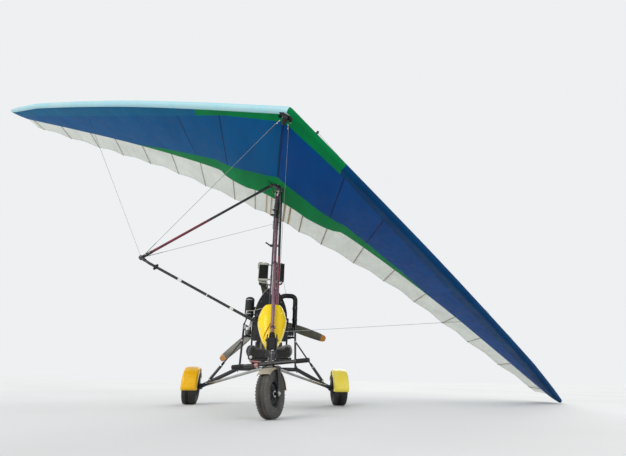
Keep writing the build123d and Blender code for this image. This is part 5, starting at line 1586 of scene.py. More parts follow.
def build_intake(m):
    b = Build(TRIKE)
    cx, cy, bore_z = -0.262, -0.04, 1.092
    # Rounded can with a ribbed body, seams and a clip band
    prof = [(0.9685, 0.0005), (0.9685, 0.028), (0.971, 0.0315), (0.98, 0.042), (0.99, 0.0505),
            (0.998, 0.0545), (1.01, 0.0558)]
    for k in range(11):
        z = 1.03 + 0.0145 * k
        prof += [(z, 0.0558), (z + 0.003, 0.0545), (z + 0.006, 0.0545), (z + 0.009, 0.0558)]
    prof += [(1.196, 0.0558), (1.205, 0.054), (1.214, 0.049), (1.2215, 0.0415), (1.228, 0.03),
             (1.2315, 0.0155), (1.232, 0.0005)]
    up = upright(cx, cy)
    b.lathe(prof, m.rubber, 48, up)
    for z in (1.0185, 1.192):
        b.band(z - 0.006, z + 0.006, 0.0554, 0.057, m.grey_metal, 48, up)
        b.box((cx - 0.008, cy - 0.0645, z - 0.0045), (cx + 0.008, cy - 0.056, z + 0.0045), m.bright,
              0.0015)
    # Stand on the frame's post
    b.tube([(-0.3147, 0.0, 0.906), (-0.3, -0.01, 0.942), (-0.282, -0.024, 0.985)], 0.0078, m.bracket, 16)
    b.piece("air_box_can", "trike", "airbox", slot="filter_rubber", angle=40)

    c = Build(TRIKE)
    bx = -0.11
    for y in CYLINDERS_Y:
        yb = -0.04 + (y - 0.02) * 0.3
        x0, x1 = -0.0668, -0.214
        line = [(x0, y, bore_z), (x0 - 0.03, y, bore_z), (-0.15, y + (yb - y) * 0.55, bore_z),
                (x1, yb, bore_z)]
        c.hose(line, 6, 0.0166, m.hose, 24)
        for x in (x0 - 0.012, x0 - 0.022):
            clamp(c, (x, y, bore_z), (1, 0, 0), 0.017, m)
        # Throttle body with its float bowl, clip, screws, jet cap and cable
        c.lathe([(1.052, 0.0005), (1.0465, 0.01), (1.0465, 0.021), (1.051, 0.0245), (1.078, 0.0262),
                 (1.084, 0.0268), (1.1, 0.0268), (1.104, 0.0245), (1.12, 0.0238), (1.126, 0.0225),
                 (1.1315, 0.018), (1.1318, 0.0005)], m.alloy, 36, upright(bx, y))
        c.band(-0.02, 0.02, 0.0168, 0.0215, m.alloy, 30, moved(bx, y, bore_z))
        wire = [(bx, y - 0.0268, 1.085), (bx, y - 0.0275, 1.06), (bx, y - 0.018, 1.0445),
                (bx, y + 0.018, 1.0445), (bx, y + 0.0275, 1.06), (bx, y + 0.0268, 1.085)]
        c.hose(wire, 4, 0.0013, m.bright, 6)
        for s in (-1, 1):
            c.bolt((bx + 0.014 * s, y - 0.015, 1.13), (0, 0, 1), 0.0026, m.bright)
        c.hose([(bx, y, 1.1315), (bx, y, 1.1445), (bx - 0.012, y + 0.012, 1.165), (bx - 0.02, 0.03, 1.2)],
               5, 0.0024, m.hose, 8)
    # Cable junction and throttle cables down to the frame
    c.hose([(-0.13, 0.03, 1.2), (-0.16, 0.03, 1.16), (-0.185, 0.05, 1.05), (-0.2, 0.05, 0.92),
            (-0.15, 0.04, 0.806)], 6, 0.0028, m.hose, 8)
    c.box((-0.14, 0.02, 1.192), (-0.12, 0.04, 1.214), m.rubber, 0.003)
    # Fuel hose
    fuel = [(bx, -0.064, 1.053), (-0.118, -0.06, 1.032), (-0.13, 0.0, 1.018), (-0.118, 0.085, 1.03),
            (bx, 0.104, 1.053)]
    c.hose(fuel, 6, 0.0034, m.fuel_hose, 10)
    c.piece("carburettor_set", "trike", "carburettors", slot="hub_metal", angle=40)


def build_engine_details(m):
    shaft_z, crank_z, lid_y = 1.038, 0.875, 0.328
    b = Build(TRIKE)
    # Crankcase: flange bolts, ribs, feet; starter cover with its vents and grip
    for side in (-1, 1):
        for k in range(6):
            y = -0.08 + 0.05 * k
            b.bolt((side * 0.12, y, 0.8802), (0, 0, 1), 0.0042, m.bright)
        for k in range(7):
            y = -0.07 + 0.04 * k
            b.box((side * 0.1175, y - 0.0022, 0.812), (side * 0.1225, y + 0.0022, 0.869), m.cast, 0.0008)
        for y in (-0.06, 0.15):
            b.tube([(side * 0.108, y, 0.7895), (side * 0.108, y, 0.7925)], 0.021, m.rubber, 24)
            b.bolt((side * 0.108, y, 0.759), (0, 0, -1), 0.0065, m.bright)
    for a in around(12):
        b.box((-0.0035, 0.03, -0.002), (0.0035, 0.046, 0.001), m.core, 0.0008,
              moved(0, -0.1003, crank_z) @ Matrix.Rotation(a, 4, "Y") @ turned(90, "X") @ turned(90, "Z"))
    for a in around(5, 0.3):
        b.bolt((0.06 * cos(a), -0.1262, crank_z + 0.06 * sin(a)), (0, -1, 0), 0.0038, m.bright)
    b.bolt((0, -0.1005, crank_z), (0, -1, 0), 0.008, m.bright)
    # Heads: cover plates, studs, plug caps with leads
    for j, y in enumerate(CYLINDERS_Y):
        b.box((-0.048, y - 0.051, 1.2402), (0.048, y + 0.051, 1.2455), m.head, 0.0022)
        for sx in (-1, 1):
            for sy in (-1, 1):
                b.bolt((sx * 0.038, y + sy * 0.04, 1.2455), (0, 0, 1), 0.0052, m.bright)
        for sx in (-1, 1):
            x = sx * 0.016
            b.lathe([(1.245, 0.0082), (1.2515, 0.0095), (1.2515, 0.007), (1.273, 0.0066), (1.277, 0.0085),
                     (1.28, 0.006), (1.2802, 0.0003)], m.rubber, 20, upright(x, y))
            lead = [(x, y, 1.279), (x, y + 0.004, 1.29), (x + sx * 0.018, y + 0.02, 1.298),
                    (sx * 0.075, y + 0.03, 1.262), (sx * 0.094, y + 0.03, 1.15),
                    (sx * 0.098, y + 0.034, 1.02), (sx * 0.1, 0.085 + 0.02 * j, 0.965)]
            b.hose(lead, 6, 0.0034, m.hose, 10)
        # Small struts between the fins
        for sx in (-1, 1):
            for sy in (-0.03, 0.03):
                b.tube([(sx * 0.0715, y + sy, z) for z in (0.985, 1.175)], 0.003, m.head, 8)
    # Regulator on the right post side, with its cooling ribs and leads; wiring along the cross tube
    b.box((0.226, -0.03, 0.779), (0.3, 0.012, 0.872), m.cast, 0.004)
    for k in range(8):
        x = 0.231 + 0.0086 * k
        b.box((x, -0.042, 0.783), (x + 0.003, -0.029, 0.868), m.cast, 0.0008)
    for x in (0.236, 0.29):
        b.bolt((x, -0.0305, 0.8705), (0, -0.2, 1), 0.0038, m.bright)
    for k, (x, z) in enumerate(((0.24, 0.7795), (0.262, 0.7795), (0.284, 0.7795))):
        b.hose([(x, -0.012, z), (x - 0.004, -0.02, 0.752), (x - 0.03 - 0.02 * k, -0.022, 0.735),
                (0.16 - 0.02 * k, -0.02, 0.742), (0.12, 0.0, 0.795), (0.121, 0.04, 0.84)], 6, 0.0036,
               m.hose, 8)
    loom = [(0.3, -0.0155, 0.76), (0.22, -0.0175, 0.7585), (0.12, -0.018, 0.76), (0.0, -0.0175, 0.759),
            (-0.12, -0.018, 0.76), (-0.2, -0.0175, 0.759), (-0.262, -0.017, 0.76)]
    b.hose(loom, 6, 0.0062, m.hose, 10)
    for x in (-0.24, -0.16, -0.08, 0.0, 0.08, 0.16, 0.24):
        b.tube([(x - 0.0025, -0.003, 0.759), (x + 0.0025, -0.003, 0.759)], 0.0215, m.rubber, 20)
    # Ignition box beside the crankcase with its bracket and leads
    b.box((-0.214, -0.066, 0.884), (-0.152, -0.018, 0.976), m.rubber, 0.005)
    b.box((-0.154, -0.05, 0.9), (-0.1235, -0.034, 0.93), m.bracket, 0.002)
    for z in (0.897, 0.963):
        b.bolt((-0.183, -0.0662, z), (0, -1, 0), 0.004, m.bright)
    for k, z in enumerate((0.915, 0.93, 0.945)):
        b.hose([(-0.213, -0.04, z), (-0.228, -0.042, z - 0.006), (-0.236 + 0.004 * k, -0.04, z - 0.06),
                (-0.236 + 0.006 * k, -0.03, 0.8), (-0.2, -0.02, 0.764)], 6, 0.0032, m.hose, 8)
    # Fuel pump and its hoses on the left post side
    px, py = -0.292, -0.022
    b.tube([(px, py, 0.845), (px, py, 0.88)], 0.026, m.alloy, 28)
    b.tube([(px, py, 0.88), (px, py, 0.894)], [0.024, 0.017], m.alloy, 28)
    b.tube([(px, py, 0.833), (px, py, 0.845)], [0.017, 0.025], m.rubber, 28)
    for k in range(4):
        a = radians(45 + 90 * k)
        b.bolt((px + 0.019 * cos(a), py + 0.019 * sin(a), 0.88), (0, 0, 1), 0.0028, m.bright)
    b.hose([(px, py, 0.835), (-0.286, -0.03, 0.815), (-0.25, -0.1, 0.79), (-0.2, -0.11, 0.8),
            (-0.13, -0.1, 0.86)], 6, 0.0048, m.hose, 10)
    b.hose([(-0.268, -0.03, 0.868), (-0.245, -0.06, 0.885), (-0.235, -0.075, 0.94), (-0.215, -0.07, 1.0),
            (-0.165, -0.06, 1.02), (-0.125, -0.06, 1.034)], 6, 0.0044, m.hose, 10)
    # Coolant line from the case up the right side
    b.hose([(0.119, -0.04, 0.905), (0.15, -0.06, 0.915), (0.192, -0.072, 0.96), (0.186, -0.06, 1.06),
            (0.14, -0.03, 1.16), (0.07, -0.05, 1.19)], 7, 0.0112, m.hose, 16)
    for p in ((0.186, -0.066, 1.01), (0.16, -0.063, 0.922)):
        clamp(b, p, (0.1, 0, 1), 0.0116, m)
    # Coil box on its screws
    b.box((0.084, 0.07, 0.959), (0.124, 0.15, 0.985), m.rubber, 0.004)
    for y in (0.082, 0.138):
        b.bolt((0.104, y, 0.985), (0, 0, 1), 0.004, m.bright)
    # Gearbox: bolts round its cover, plug, ribs
    for k in range(9):
        a = radians(-10 + 25 * k)
        b.bolt((0.064 * cos(a), lid_y, shaft_z + 0.064 * sin(a)), (0, 1, 0), 0.0046, m.bright)
    for side in (-1, 1):
        for z in (0.985, 0.93, 0.875):
            b.bolt((side * 0.058, lid_y, z), (0, 1, 0), 0.0046, m.bright)
            b.box((side * 0.0705, 0.205, z - 0.0025), (side * 0.0765, 0.322, z + 0.0025), m.cast, 0.001)
    b.bolt((0, lid_y, 0.83), (0, 1, 0), 0.0075, m.bright)
    b.lathe([(0.3281, 0.0462), (0.3281, 0.05), (0.334, 0.048), (0.334, 0.0462)], m.cast, 44,
            moved(0, 0, shaft_z) @ turned(90, "Z"), loop=True)
    b.piece("engine_fittings", "trike", slot="engine_cast", angle=36)

    # White capped bottle beside the engine, on the frame's cross tube
    o = Build(TRIKE)
    bx, by = -0.262, -0.06
    o.lathe([(0.7745, 0.0005), (0.7745, 0.029), (0.779, 0.033), (0.815, 0.033), (0.8225, 0.029),
             (0.8265, 0.0165), (0.8265, 0.0005)], m.bottle, 32, upright(bx, by))
    o.lathe([(0.826, 0.0005), (0.826, 0.0255), (0.83, 0.0272), (0.856, 0.0272), (0.86, 0.0245),
             (0.8605, 0.0005)], m.white_cap, 28, upright(bx, by))
    o.box((bx - 0.024, by - 0.03, 0.77), (bx + 0.024, 0.014, 0.7755), m.bracket, 0.002)
    o.hose([(bx + 0.03, by, 0.79), (-0.15, by - 0.004, 0.786), (-0.132, -0.06, 0.8),
            (-0.119, -0.06, 0.815)], 5, 0.0034, m.hose, 8)
    o.piece("oil_bottle", "trike", slot="tank_plastic")


def build_radiators(m):
    mid_y = 0.058
    b = Build(TRIKE)
    half, low, high, y0, y1 = 0.064, 1.468, 1.706, 0.029, 0.087
    for j, cx in enumerate((-0.121, 0.09)):
        frame_mat = m.radiator_pale if j == 0 else m.core
        # Side plates, tanks, and the core as packed tubes and fins
        for side in (-1, 1):
            plate = frame_mat if side < 0 else m.core
            b.box((cx + side * half, y0, low + 0.004), (cx + side * (half - 0.01), y1, high - 0.004),
                  plate, 0.0025)
        b.box((cx - half, y0 + 0.001, high - 0.026), (cx + half, y1 - 0.001, high), frame_mat, 0.006)
        b.box((cx - half, y0 + 0.001, low), (cx + half, y1 - 0.001, low + 0.026), frame_mat, 0.006)
        n = 15
        for k in range(n):
            x = cx - half + 0.012 + (2 * half - 0.024) * (k + 0.5) / n
            b.box((x - 0.0013, y0 + 0.01, low + 0.024), (x + 0.0013, y1 - 0.01, high - 0.024), m.core,
                  0.0)
        rows = 44
        for k in range(rows):
            z = low + 0.028 + (high - low - 0.056) * k / (rows - 1)
            b.box((cx - half + 0.01, y0 + 0.012, z - 0.0007), (cx + half - 0.01, y1 - 0.012, z + 0.0007),
                  m.fin, 0.0)
        # Hose necks and their hoses
        for side in (-1, 1):
            x = cx + side * (half - 0.028)
            b.tube([(x, mid_y, low - 0.022), (x, mid_y, low + 0.002)], 0.0135, m.core, 24)
            clamp(b, (x, mid_y, low - 0.012), (0, 0, 1), 0.0138, m, 0.008)
        b.lathe([(high - 0.001, 0.0003), (high - 0.001, 0.015), (high + 0.003, 0.017),
                 (high + 0.0085, 0.0165), (high + 0.01, 0.0003)], m.bright if j == 0 else m.black, 30,
                upright(cx + 0.02, mid_y))
    # Bars between the two and legs down to the heads
    for z in (low + 0.02, high - 0.02):
        b.tube([(-0.058, mid_y, z), (0.027, mid_y, z)], 0.007, m.silver, 16)
    for x in (-0.04, 0.04):
        b.tube([(x, 0.084, 1.2415), (x * 1.9, mid_y, low + 0.004)], 0.0068, m.olive if x < 0 else m.black,
               16)
        b.band(0, 0.0035, 0.0005, 0.013, m.bright, 24, upright(x, 0.084, 1.2412), loop=False)
    # Folded plate on the outer upper corner, pale edge strip
    b.box((-0.196, 0.03, 1.64), (-0.1852, 0.086, 1.702), m.olive, 0.002)
    b.box((-0.1862, 0.0265, 1.478), (-0.176, 0.0295, 1.7), m.radiator_pale, 0.001)
    b.box((-0.18, 0.0262, 1.695), (-0.062, 0.0295, 1.7045), m.radiator_pale, 0.001)
    b.box((-0.18, 0.0262, 1.47), (-0.062, 0.0295, 1.4795), m.radiator_pale, 0.001)
    b.piece("radiator_pair", "trike", "radiators", slot="radiator_core", angle=36)

    h = Build(TRIKE)
    coolant = [(-0.157, mid_y, 1.447), (-0.157, 0.052, 1.425), (-0.13, 0.044, 1.405),
               (-0.085, 0.05, 1.39), (-0.06, 0.06, 1.34), (-0.056, 0.08, 1.29), (-0.05, 0.088, 1.2465)]
    h.hose(coolant, 7, 0.0125, m.hose, 20)
    other = [(0.054, mid_y, 1.447), (0.054, 0.054, 1.42), (0.03, 0.03, 1.36), (0.02, -0.01, 1.3),
             (0.014, -0.04, 1.2465)]
    h.hose(other, 7, 0.0125, m.hose, 20)
    link = [(-0.085, mid_y, 1.447), (-0.083, 0.05, 1.432), (-0.06, 0.04, 1.418), (-0.015, 0.035, 1.414),
            (0.045, 0.04, 1.42), (0.11, 0.05, 1.43), (0.126, mid_y, 1.447)]
    h.hose(link, 7, 0.01, m.hose, 18)
    # White overflow hose across the gap and the pale loop under the pale radiator
    white = [(0.03, 0.012, 1.566), (0.012, 0.008, 1.556), (-0.018, 0.01, 1.524), (-0.044, 0.012, 1.492),
             (-0.06, 0.018, 1.47), (-0.066, 0.026, 1.44)]
    h.hose(white, 7, 0.0052, m.white_hose, 12)
    loop = [(-0.178, 0.022, 1.462), (-0.166, 0.018, 1.446), (-0.135, 0.016, 1.438), (-0.09, 0.018, 1.434),
            (-0.062, 0.02, 1.424), (-0.036, 0.022, 1.405), (-0.012, 0.03, 1.388)]
    h.hose(loop, 7, 0.0055, m.cream_hose, 12)
    wire = [(0.148, 0.045, 1.478), (0.158, 0.044, 1.43), (0.172, 0.046, 1.37), (0.188, 0.05, 1.312)]
    h.hose(wire, 6, 0.0018, m.hose, 8)
    h.piece("cooling_hoses", "trike", slot="filter_rubber")


def build_tank(m):
    mid_y = 0.115
    b = Build(TRIKE)
    y0, y1, half = 0.022, 0.208, 0.013
    # Straps over the tank, moulded ribs, cap and pick-up
    for x in (-0.095, 0.095):
        pts = [(x, y0 - 0.0015, 0.462), (x, y0 - 0.002, 0.6), (x, y0 - 0.002, 0.7),
               (x, y0 + 0.01, 0.7165), (x, mid_y, 0.7175), (x, y1 - 0.01, 0.7165), (x, y1 + 0.002, 0.7),
               (x, y1 + 0.002, 0.6), (x, y1 + 0.0015, 0.462)]
        n = len(pts)
        verts = []
        for p in pts:
            out = Vector((0, p[1] - mid_y, p[2] - 0.588)).normalized() * 0.0016
            verts += [(x - half, p[1], p[2]), (x + half, p[1], p[2]),
                      (x + half, p[1] + out.y, p[2] + out.z), (x - half, p[1] + out.y, p[2] + out.z)]
        faces = []
        for i in range(n - 1):
            for k in range(4):
                faces.append((4 * i + k, 4 * i + (k + 1) % 4, 4 * i + 4 + (k + 1) % 4, 4 * i + 4 + k))
        b.add(verts, faces, m.strap)
        b.box((x - 0.016, y0 - 0.008, 0.585), (x + 0.016, y0 - 0.003, 0.612), m.bright, 0.0015)
    cap_x, cap_y = -0.119, mid_y
    b.lathe([(0.737, 0.0005), (0.737, 0.026), (0.734, 0.0292), (0.718, 0.0292), (0.718, 0.0282)],
            m.rubber, 40, upright(cap_x, cap_y))
    for a in around(20):
        x, y = cap_x + 0.029 * cos(a), cap_y + 0.029 * sin(a)
        b.box((x - 0.0016, y - 0.0016, 0.7195), (x + 0.0016, y + 0.0016, 0.7335), m.rubber, 0.0006)
    b.hose([(0.06, mid_y, 0.716), (0.06, mid_y, 0.735), (0.075, 0.1, 0.752), (0.1, 0.03, 0.8),
            (0.06, -0.02, 0.96), (-0.03, -0.02, 1.0), (-0.085, -0.02, 1.017), (-0.12, 0.0, 1.018)], 6,
           0.0036, m.fuel_hose, 10)
    b.band(0, 0.006, 0.0004, 0.01, m.alloy, 24, upright(0.06, mid_y, 0.7152), loop=False)
    b.piece("tank_fittings", "trike", slot="tank_plastic")


# Blade sections: radius, chord, thickness, pitch in degrees
BLADE = (
    (0.070, 0.061, 0.030, 52.0),
    (0.140, 0.076, 0.028, 46.0),
    (0.210, 0.092, 0.024, 40.0),
    (0.350, 0.106, 0.019, 30.0),
    (0.500, 0.112, 0.015, 22.0),
    (0.660, 0.104, 0.011, 18.0),
    (0.765, 0.090, 0.0085, 15.0),
    (0.808, 0.062, 0.006, 14.0),
)
FOIL = ((-0.5, 0.0), (-0.46, -0.1), (-0.38, -0.17), (-0.22, -0.235), (0.0, -0.25), (0.22, -0.21),
        (0.4, -0.11), (0.5, -0.02), (0.5, 0.03), (0.4, 0.2), (0.22, 0.44), (0.02, 0.6), (-0.16, 0.66),
        (-0.32, 0.58), (-0.43, 0.38), (-0.49, 0.17))


def build_propeller(m):
    centre = Vector(joints["propeller_spin"]["pos_m"])
    b = Build(Matrix.Translation(centre))
    inner, outer = BLADE[0][0], BLADE[-1][0]
    stations = [inner + (outer - inner) * k / 44 for k in range(45)]
    for angle in (102.0, 222.0, -18.0):
        turn = turned(90 - angle, "Y")
        rings = []
        for r in stations:
            row = table_row(BLADE, r)
            tip = max(0.0, (r - 0.792) / 0.016)
            chord = row[1] * (1.0 - 0.3 * tip * tip)
            t = radians(row[3])
            ring = []
            for u, v in FOIL:
                x, y = u * chord, v * row[2] * 1.02
                ring.append((x * cos(t) - y * sin(t), x * sin(t) + y * cos(t), r))
            rings.append(ring)
        cut = next(k for k, r in enumerate(stations) if r > 0.732)
        b.rings(rings[:cut + 1], m.wood, turn, caps=True)
        b.rings(rings[cut:], m.tip_orange, turn, caps=True)
        # Metal strip along the leading edge, and the root's ferrule
        edge = [ring[0] for r, ring in zip(stations, rings) if 0.4 < r < 0.735]
        b.tube(edge, 0.0018, m.grey_metal, 8, turn)
        b.tube([(0, 0, 0.066), (0, 0, 0.074), (0, 0, 0.084)], [0.0275, 0.027, 0.0235], m.hub, 30, turn)
    b.piece("propeller_set", "propeller", "prop_blades", slot="propeller_wood", angle=50)
    h = Build(Matrix.Translation(centre))
    for k in range(6):
        a = radians(60 * k + 12)
        h.bolt((0.05 * cos(a), 0.0282, 0.05 * sin(a)), (0, 1, 0), 0.0062, m.bright)
        h.bolt((0.0665 * cos(a + 0.5), -0.0005, 0.0665 * sin(a + 0.5)), (0, -1, 0), 0.001, m.bright)
    h.bolt((0, 0.0285, 0), (0, 1, 0), 0.0135, m.bright)
    h.band(-0.001, 0.001, 0.0748, 0.0756, m.core, 60, turned(90, "Z"))
    h.piece("propeller_bolts", "propeller", slot="hub_metal")


# Brackets and clamps on the beam, mast and front strut

def mast_at(z):
    return Vector((0.0, -0.05 - MAST_RUN * (z - BEAM_TOP), z))


MAST_WAY = Vector((0.0, -MAST_RUN, 1.0)).normalized()
STRUT_FOOT = Vector((0.0, -1.304, 0.607))
STRUT_HEAD = Vector((0.0, -0.5858, 2.2))
STRUT_WAY = (STRUT_HEAD - STRUT_FOOT).normalized()


def ring_clamp(b, centre, way, r, wide, mat, m):
    c = Vector(centre)
    b.cuff(c, way, wide / 2, r + 0.0028, mat, 32)
    ear = c + Vector((r + 0.007, 0, 0))
    b.box((-0.006, -0.009, -wide / 2 + 0.001), (0.006, 0.009, wide / 2 - 0.001), mat, 0.002,
          Matrix.Translation(ear) @ way.to_track_quat("Z", "Y").to_matrix().to_4x4())
    b.bolt(ear + Vector((0, -0.0095, 0)), (0, -1, 0), 0.004, m.bright)


def build_frame_fittings(m):
    rail_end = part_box("seat_frame")[0][1] - TRIKE.translation.y
    # Strut bracket: saddle on the beam and two cheeks with round heads
    b = Build(TRIKE)
    y0, y1, low, high = -1.346, -1.262, 0.4602, 0.659
    mid = (y0 + y1) / 2
    half = (y1 - y0) / 2
    b.box((-0.0475, y0, low), (0.0475, y1, low + 0.06), m.bracket, 0.006)
    for side in (-1, 1):
        x0, x1 = sorted((side * 0.0375, side * 0.0478))
        ring = [(y0, low + 0.01), (y1, low + 0.01)] + arc_points(mid, high - half, half, 0, 180, 18)
        b.rings([[(x, y, z) for y, z in ring] for x in (x0, x1)], m.bracket)
        x = side * 0.0479
        b.lathe([(x, 0.0003), (x, 0.026), (x + side * 0.0025, 0.025), (x + side * 0.0025, 0.0003)],
                m.bracket, 40, moved(0, STRUT_FOOT.y, STRUT_FOOT.z))
        b.bolt((x + side * 0.0025, STRUT_FOOT.y, STRUT_FOOT.z), (side, 0, 0), 0.0085, m.steel_dark)
        for y in (y0 + 0.017, y1 - 0.017):
            b.bolt((side * 0.0478, y, low + 0.022), (side, 0, 0), 0.006, m.steel_dark)
            b.tube([(side * 0.044, y, low + 0.061), (side * 0.044, y, low + 0.0665)], 0.0068,
                   m.steel_dark, 6)
    b.box((-0.037, -1.336, low + 0.058), (0.037, -1.272, high - 0.03), m.rubber, 0.012)
    # Rubber boot round the strut's foot, with its ribs
    boot = []
    radii = []
    for k in range(15):
        boot.append(tuple(STRUT_FOOT + STRUT_WAY * (-0.022 + 0.0068 * k)))
        radii.append((0.034 if k % 2 else 0.03) - 0.0007 * k)
    b.tube(boot, radii, m.rubber, 32)
    b.piece("strut_clevis", "trike", "strut_bracket", slot="dark_bracket", angle=36)

    c = Build(TRIKE)
    # Mast foot bracket bolts and its washers
    for side in (-1, 1):
        c.bolt((side * 0.0366, -0.062, 0.502), (side, 0, 0), 0.01, m.bright)
        for y, z in ((-0.098, 0.476), (-0.026, 0.476)):
            c.bolt((side * 0.0366, y, z), (side, 0, 0), 0.0052, m.bright)
    # Clamps up the mast and strut, dark end sleeves
    for z in (0.64, 1.12, 1.56):
        ring_clamp(c, mast_at(z), MAST_WAY, 0.03, 0.022, m.bracket, m)
    for t in (0.075, 0.52, 0.93):
        ring_clamp(c, STRUT_FOOT + (STRUT_HEAD - STRUT_FOOT) * t, STRUT_WAY, 0.017, 0.018, m.bracket, m)
    for z0, z1, r in ((2.02, 2.3, 0.0322), (1.985, 2.0, 0.0335), (2.235, 2.262, 0.035)):
        c.tube([mast_at(z0), mast_at((z0 + z1) / 2), mast_at(z1)], r, m.black, 36)
    c.tube([STRUT_HEAD - STRUT_WAY * 0.15, STRUT_HEAD - STRUT_WAY * 0.01], 0.019, m.black, 28)
    for z in (2.07, 2.13, 2.19, 2.25):
        p = mast_at(z)
        for side in (-1, 1):
            c.bolt((side * 0.032, p.y, p.z), (side, 0, 0), 0.0058, m.steel_dark)
    # Cleat on the mast's right side, with its lever
    p = mast_at(1.795)
    ring_clamp(c, p, MAST_WAY, 0.03, 0.03, m.bracket, m)
    c.box((-0.056, p.y - 0.011, p.z - 0.018), (-0.028, p.y + 0.011, p.z + 0.01), m.bracket, 0.003)
    c.hose([(-0.045, p.y - 0.004, p.z - 0.006), (-0.07, p.y - 0.006, p.z + 0.004),
            (-0.092, p.y - 0.008, p.z + 0.02), (-0.112, p.y - 0.008, p.z + 0.028)], 5,
           [0.0095] * 8 + [0.0085] * 4 + [0.01] * 4, m.rubber, 16)
    # Two small fittings near the mast's head
    for z, out in ((2.155, 0.066), (2.215, 0.05)):
        q = mast_at(z)
        c.box((-out, q.y - 0.01, q.z - 0.01), (-0.029, q.y + 0.01, q.z + 0.008), m.bracket, 0.003)
        c.bolt((-out, q.y, q.z), (-1, 0, 0), 0.0052, m.steel_dark)
    # Pale line down the mast's front face, a painted highlight drawn as a cable, with dark ties
    heights = (0.66, 0.9, 1.2, 1.5, 1.8, 2.06, 2.22)
    highlight_cable = [tuple(mast_at(z) + Vector((-0.006, -0.033, -0.0095))) for z in heights]
    c.hose(highlight_cable, 6, 0.0042, m.white_hose, 10)
    for z in (0.78, 1.02, 1.26, 1.44, 1.7, 1.93):
        q = mast_at(z)
        c.cuff(q, MAST_WAY, 0.003, 0.0308, m.rubber, 30)
        c.cuff(q + Vector((-0.006, -0.0305, -0.008)), MAST_WAY, 0.003, 0.0085, m.rubber, 14)
    # Starter line from the air box stand over a guide on the sheet's edge
    line = [(-0.284, -0.176, 1.033), (-0.226, -0.178, 1.041), (-0.17, -0.1655, 1.056),
            (-0.109, -0.1655, 1.074)]
    c.hose([(-0.3, -0.012, 0.952), (-0.296, -0.09, 0.99)] + line + [(-0.02, -0.168, 1.09),
            (-0.012, -0.17, 1.2105)], 6, 0.0046, m.rope, 10)
    c.tube([(-0.29, -0.16, 1.018), (-0.288, -0.18, 1.026), (-0.284, -0.196, 1.034)], 0.0078, m.white_cap,
           14)
    # End caps of the seat rails and a small round lamp on the right one
    for side in (-1, 1):
        c.lathe([(0, 0.0003), (0, 0.012), (0.006, 0.0125), (0.01, 0.0112), (0.01, 0.0003)], m.rubber, 24,
                moved(side * 0.205, rail_end + 0.0005, 0.471) @ turned(-90, "Z"))
    lamp = moved(-0.189, -0.88, 0.479) @ turned(-90, "Z")
    c.lathe([(-0.02, 0.0003), (-0.02, 0.014), (-0.008, 0.0225), (0.006, 0.0235), (0.009, 0.0225),
             (0.009, 0.0165), (0.004, 0.0155), (0.004, 0.0003)], m.rubber, 36, lamp)
    c.tube([(-0.202, rail_end, 0.471), (-0.196, -0.855, 0.474), (-0.189, -0.868, 0.479)], 0.0075,
           m.bracket, 16)
    c.lathe([(0.0045, 0.0152), (0.0065, 0.014), (0.0085, 0.0085), (0.0092, 0.0003)], m.white_cap, 32,
            lamp)
    c.piece("mast_fittings", "trike", slot="dark_bracket", angle=38)


# Control frame, nose, hang point and stay ends, in the wing frame

def swage(b, a, c, r, m):
    """Thimble, sleeve and tail of a stay at its end a, seen towards c."""
    a, c = Vector(a), Vector(c)
    way = (c - a).normalized()
    side = way.orthogonal().normalized()
    p = a + way * 0.03
    loop = []
    for k in range(17):
        t = 2 * pi * k / 16
        loop.append(tuple(a + way * (0.012 + 0.016 * cos(t)) + side * 0.0085 * sin(t)))
    b.tube(loop, r * 0.9, m.steel, 8)
    b.tube([p, p + way * 0.022], r * 2.1, m.bright, 14)
    b.tube([p + way * 0.034, p + way * 0.052], r * 2.1, m.bright, 14)
    b.tube([p, p + way * 0.2], r * 1.35, m.hose, 10)


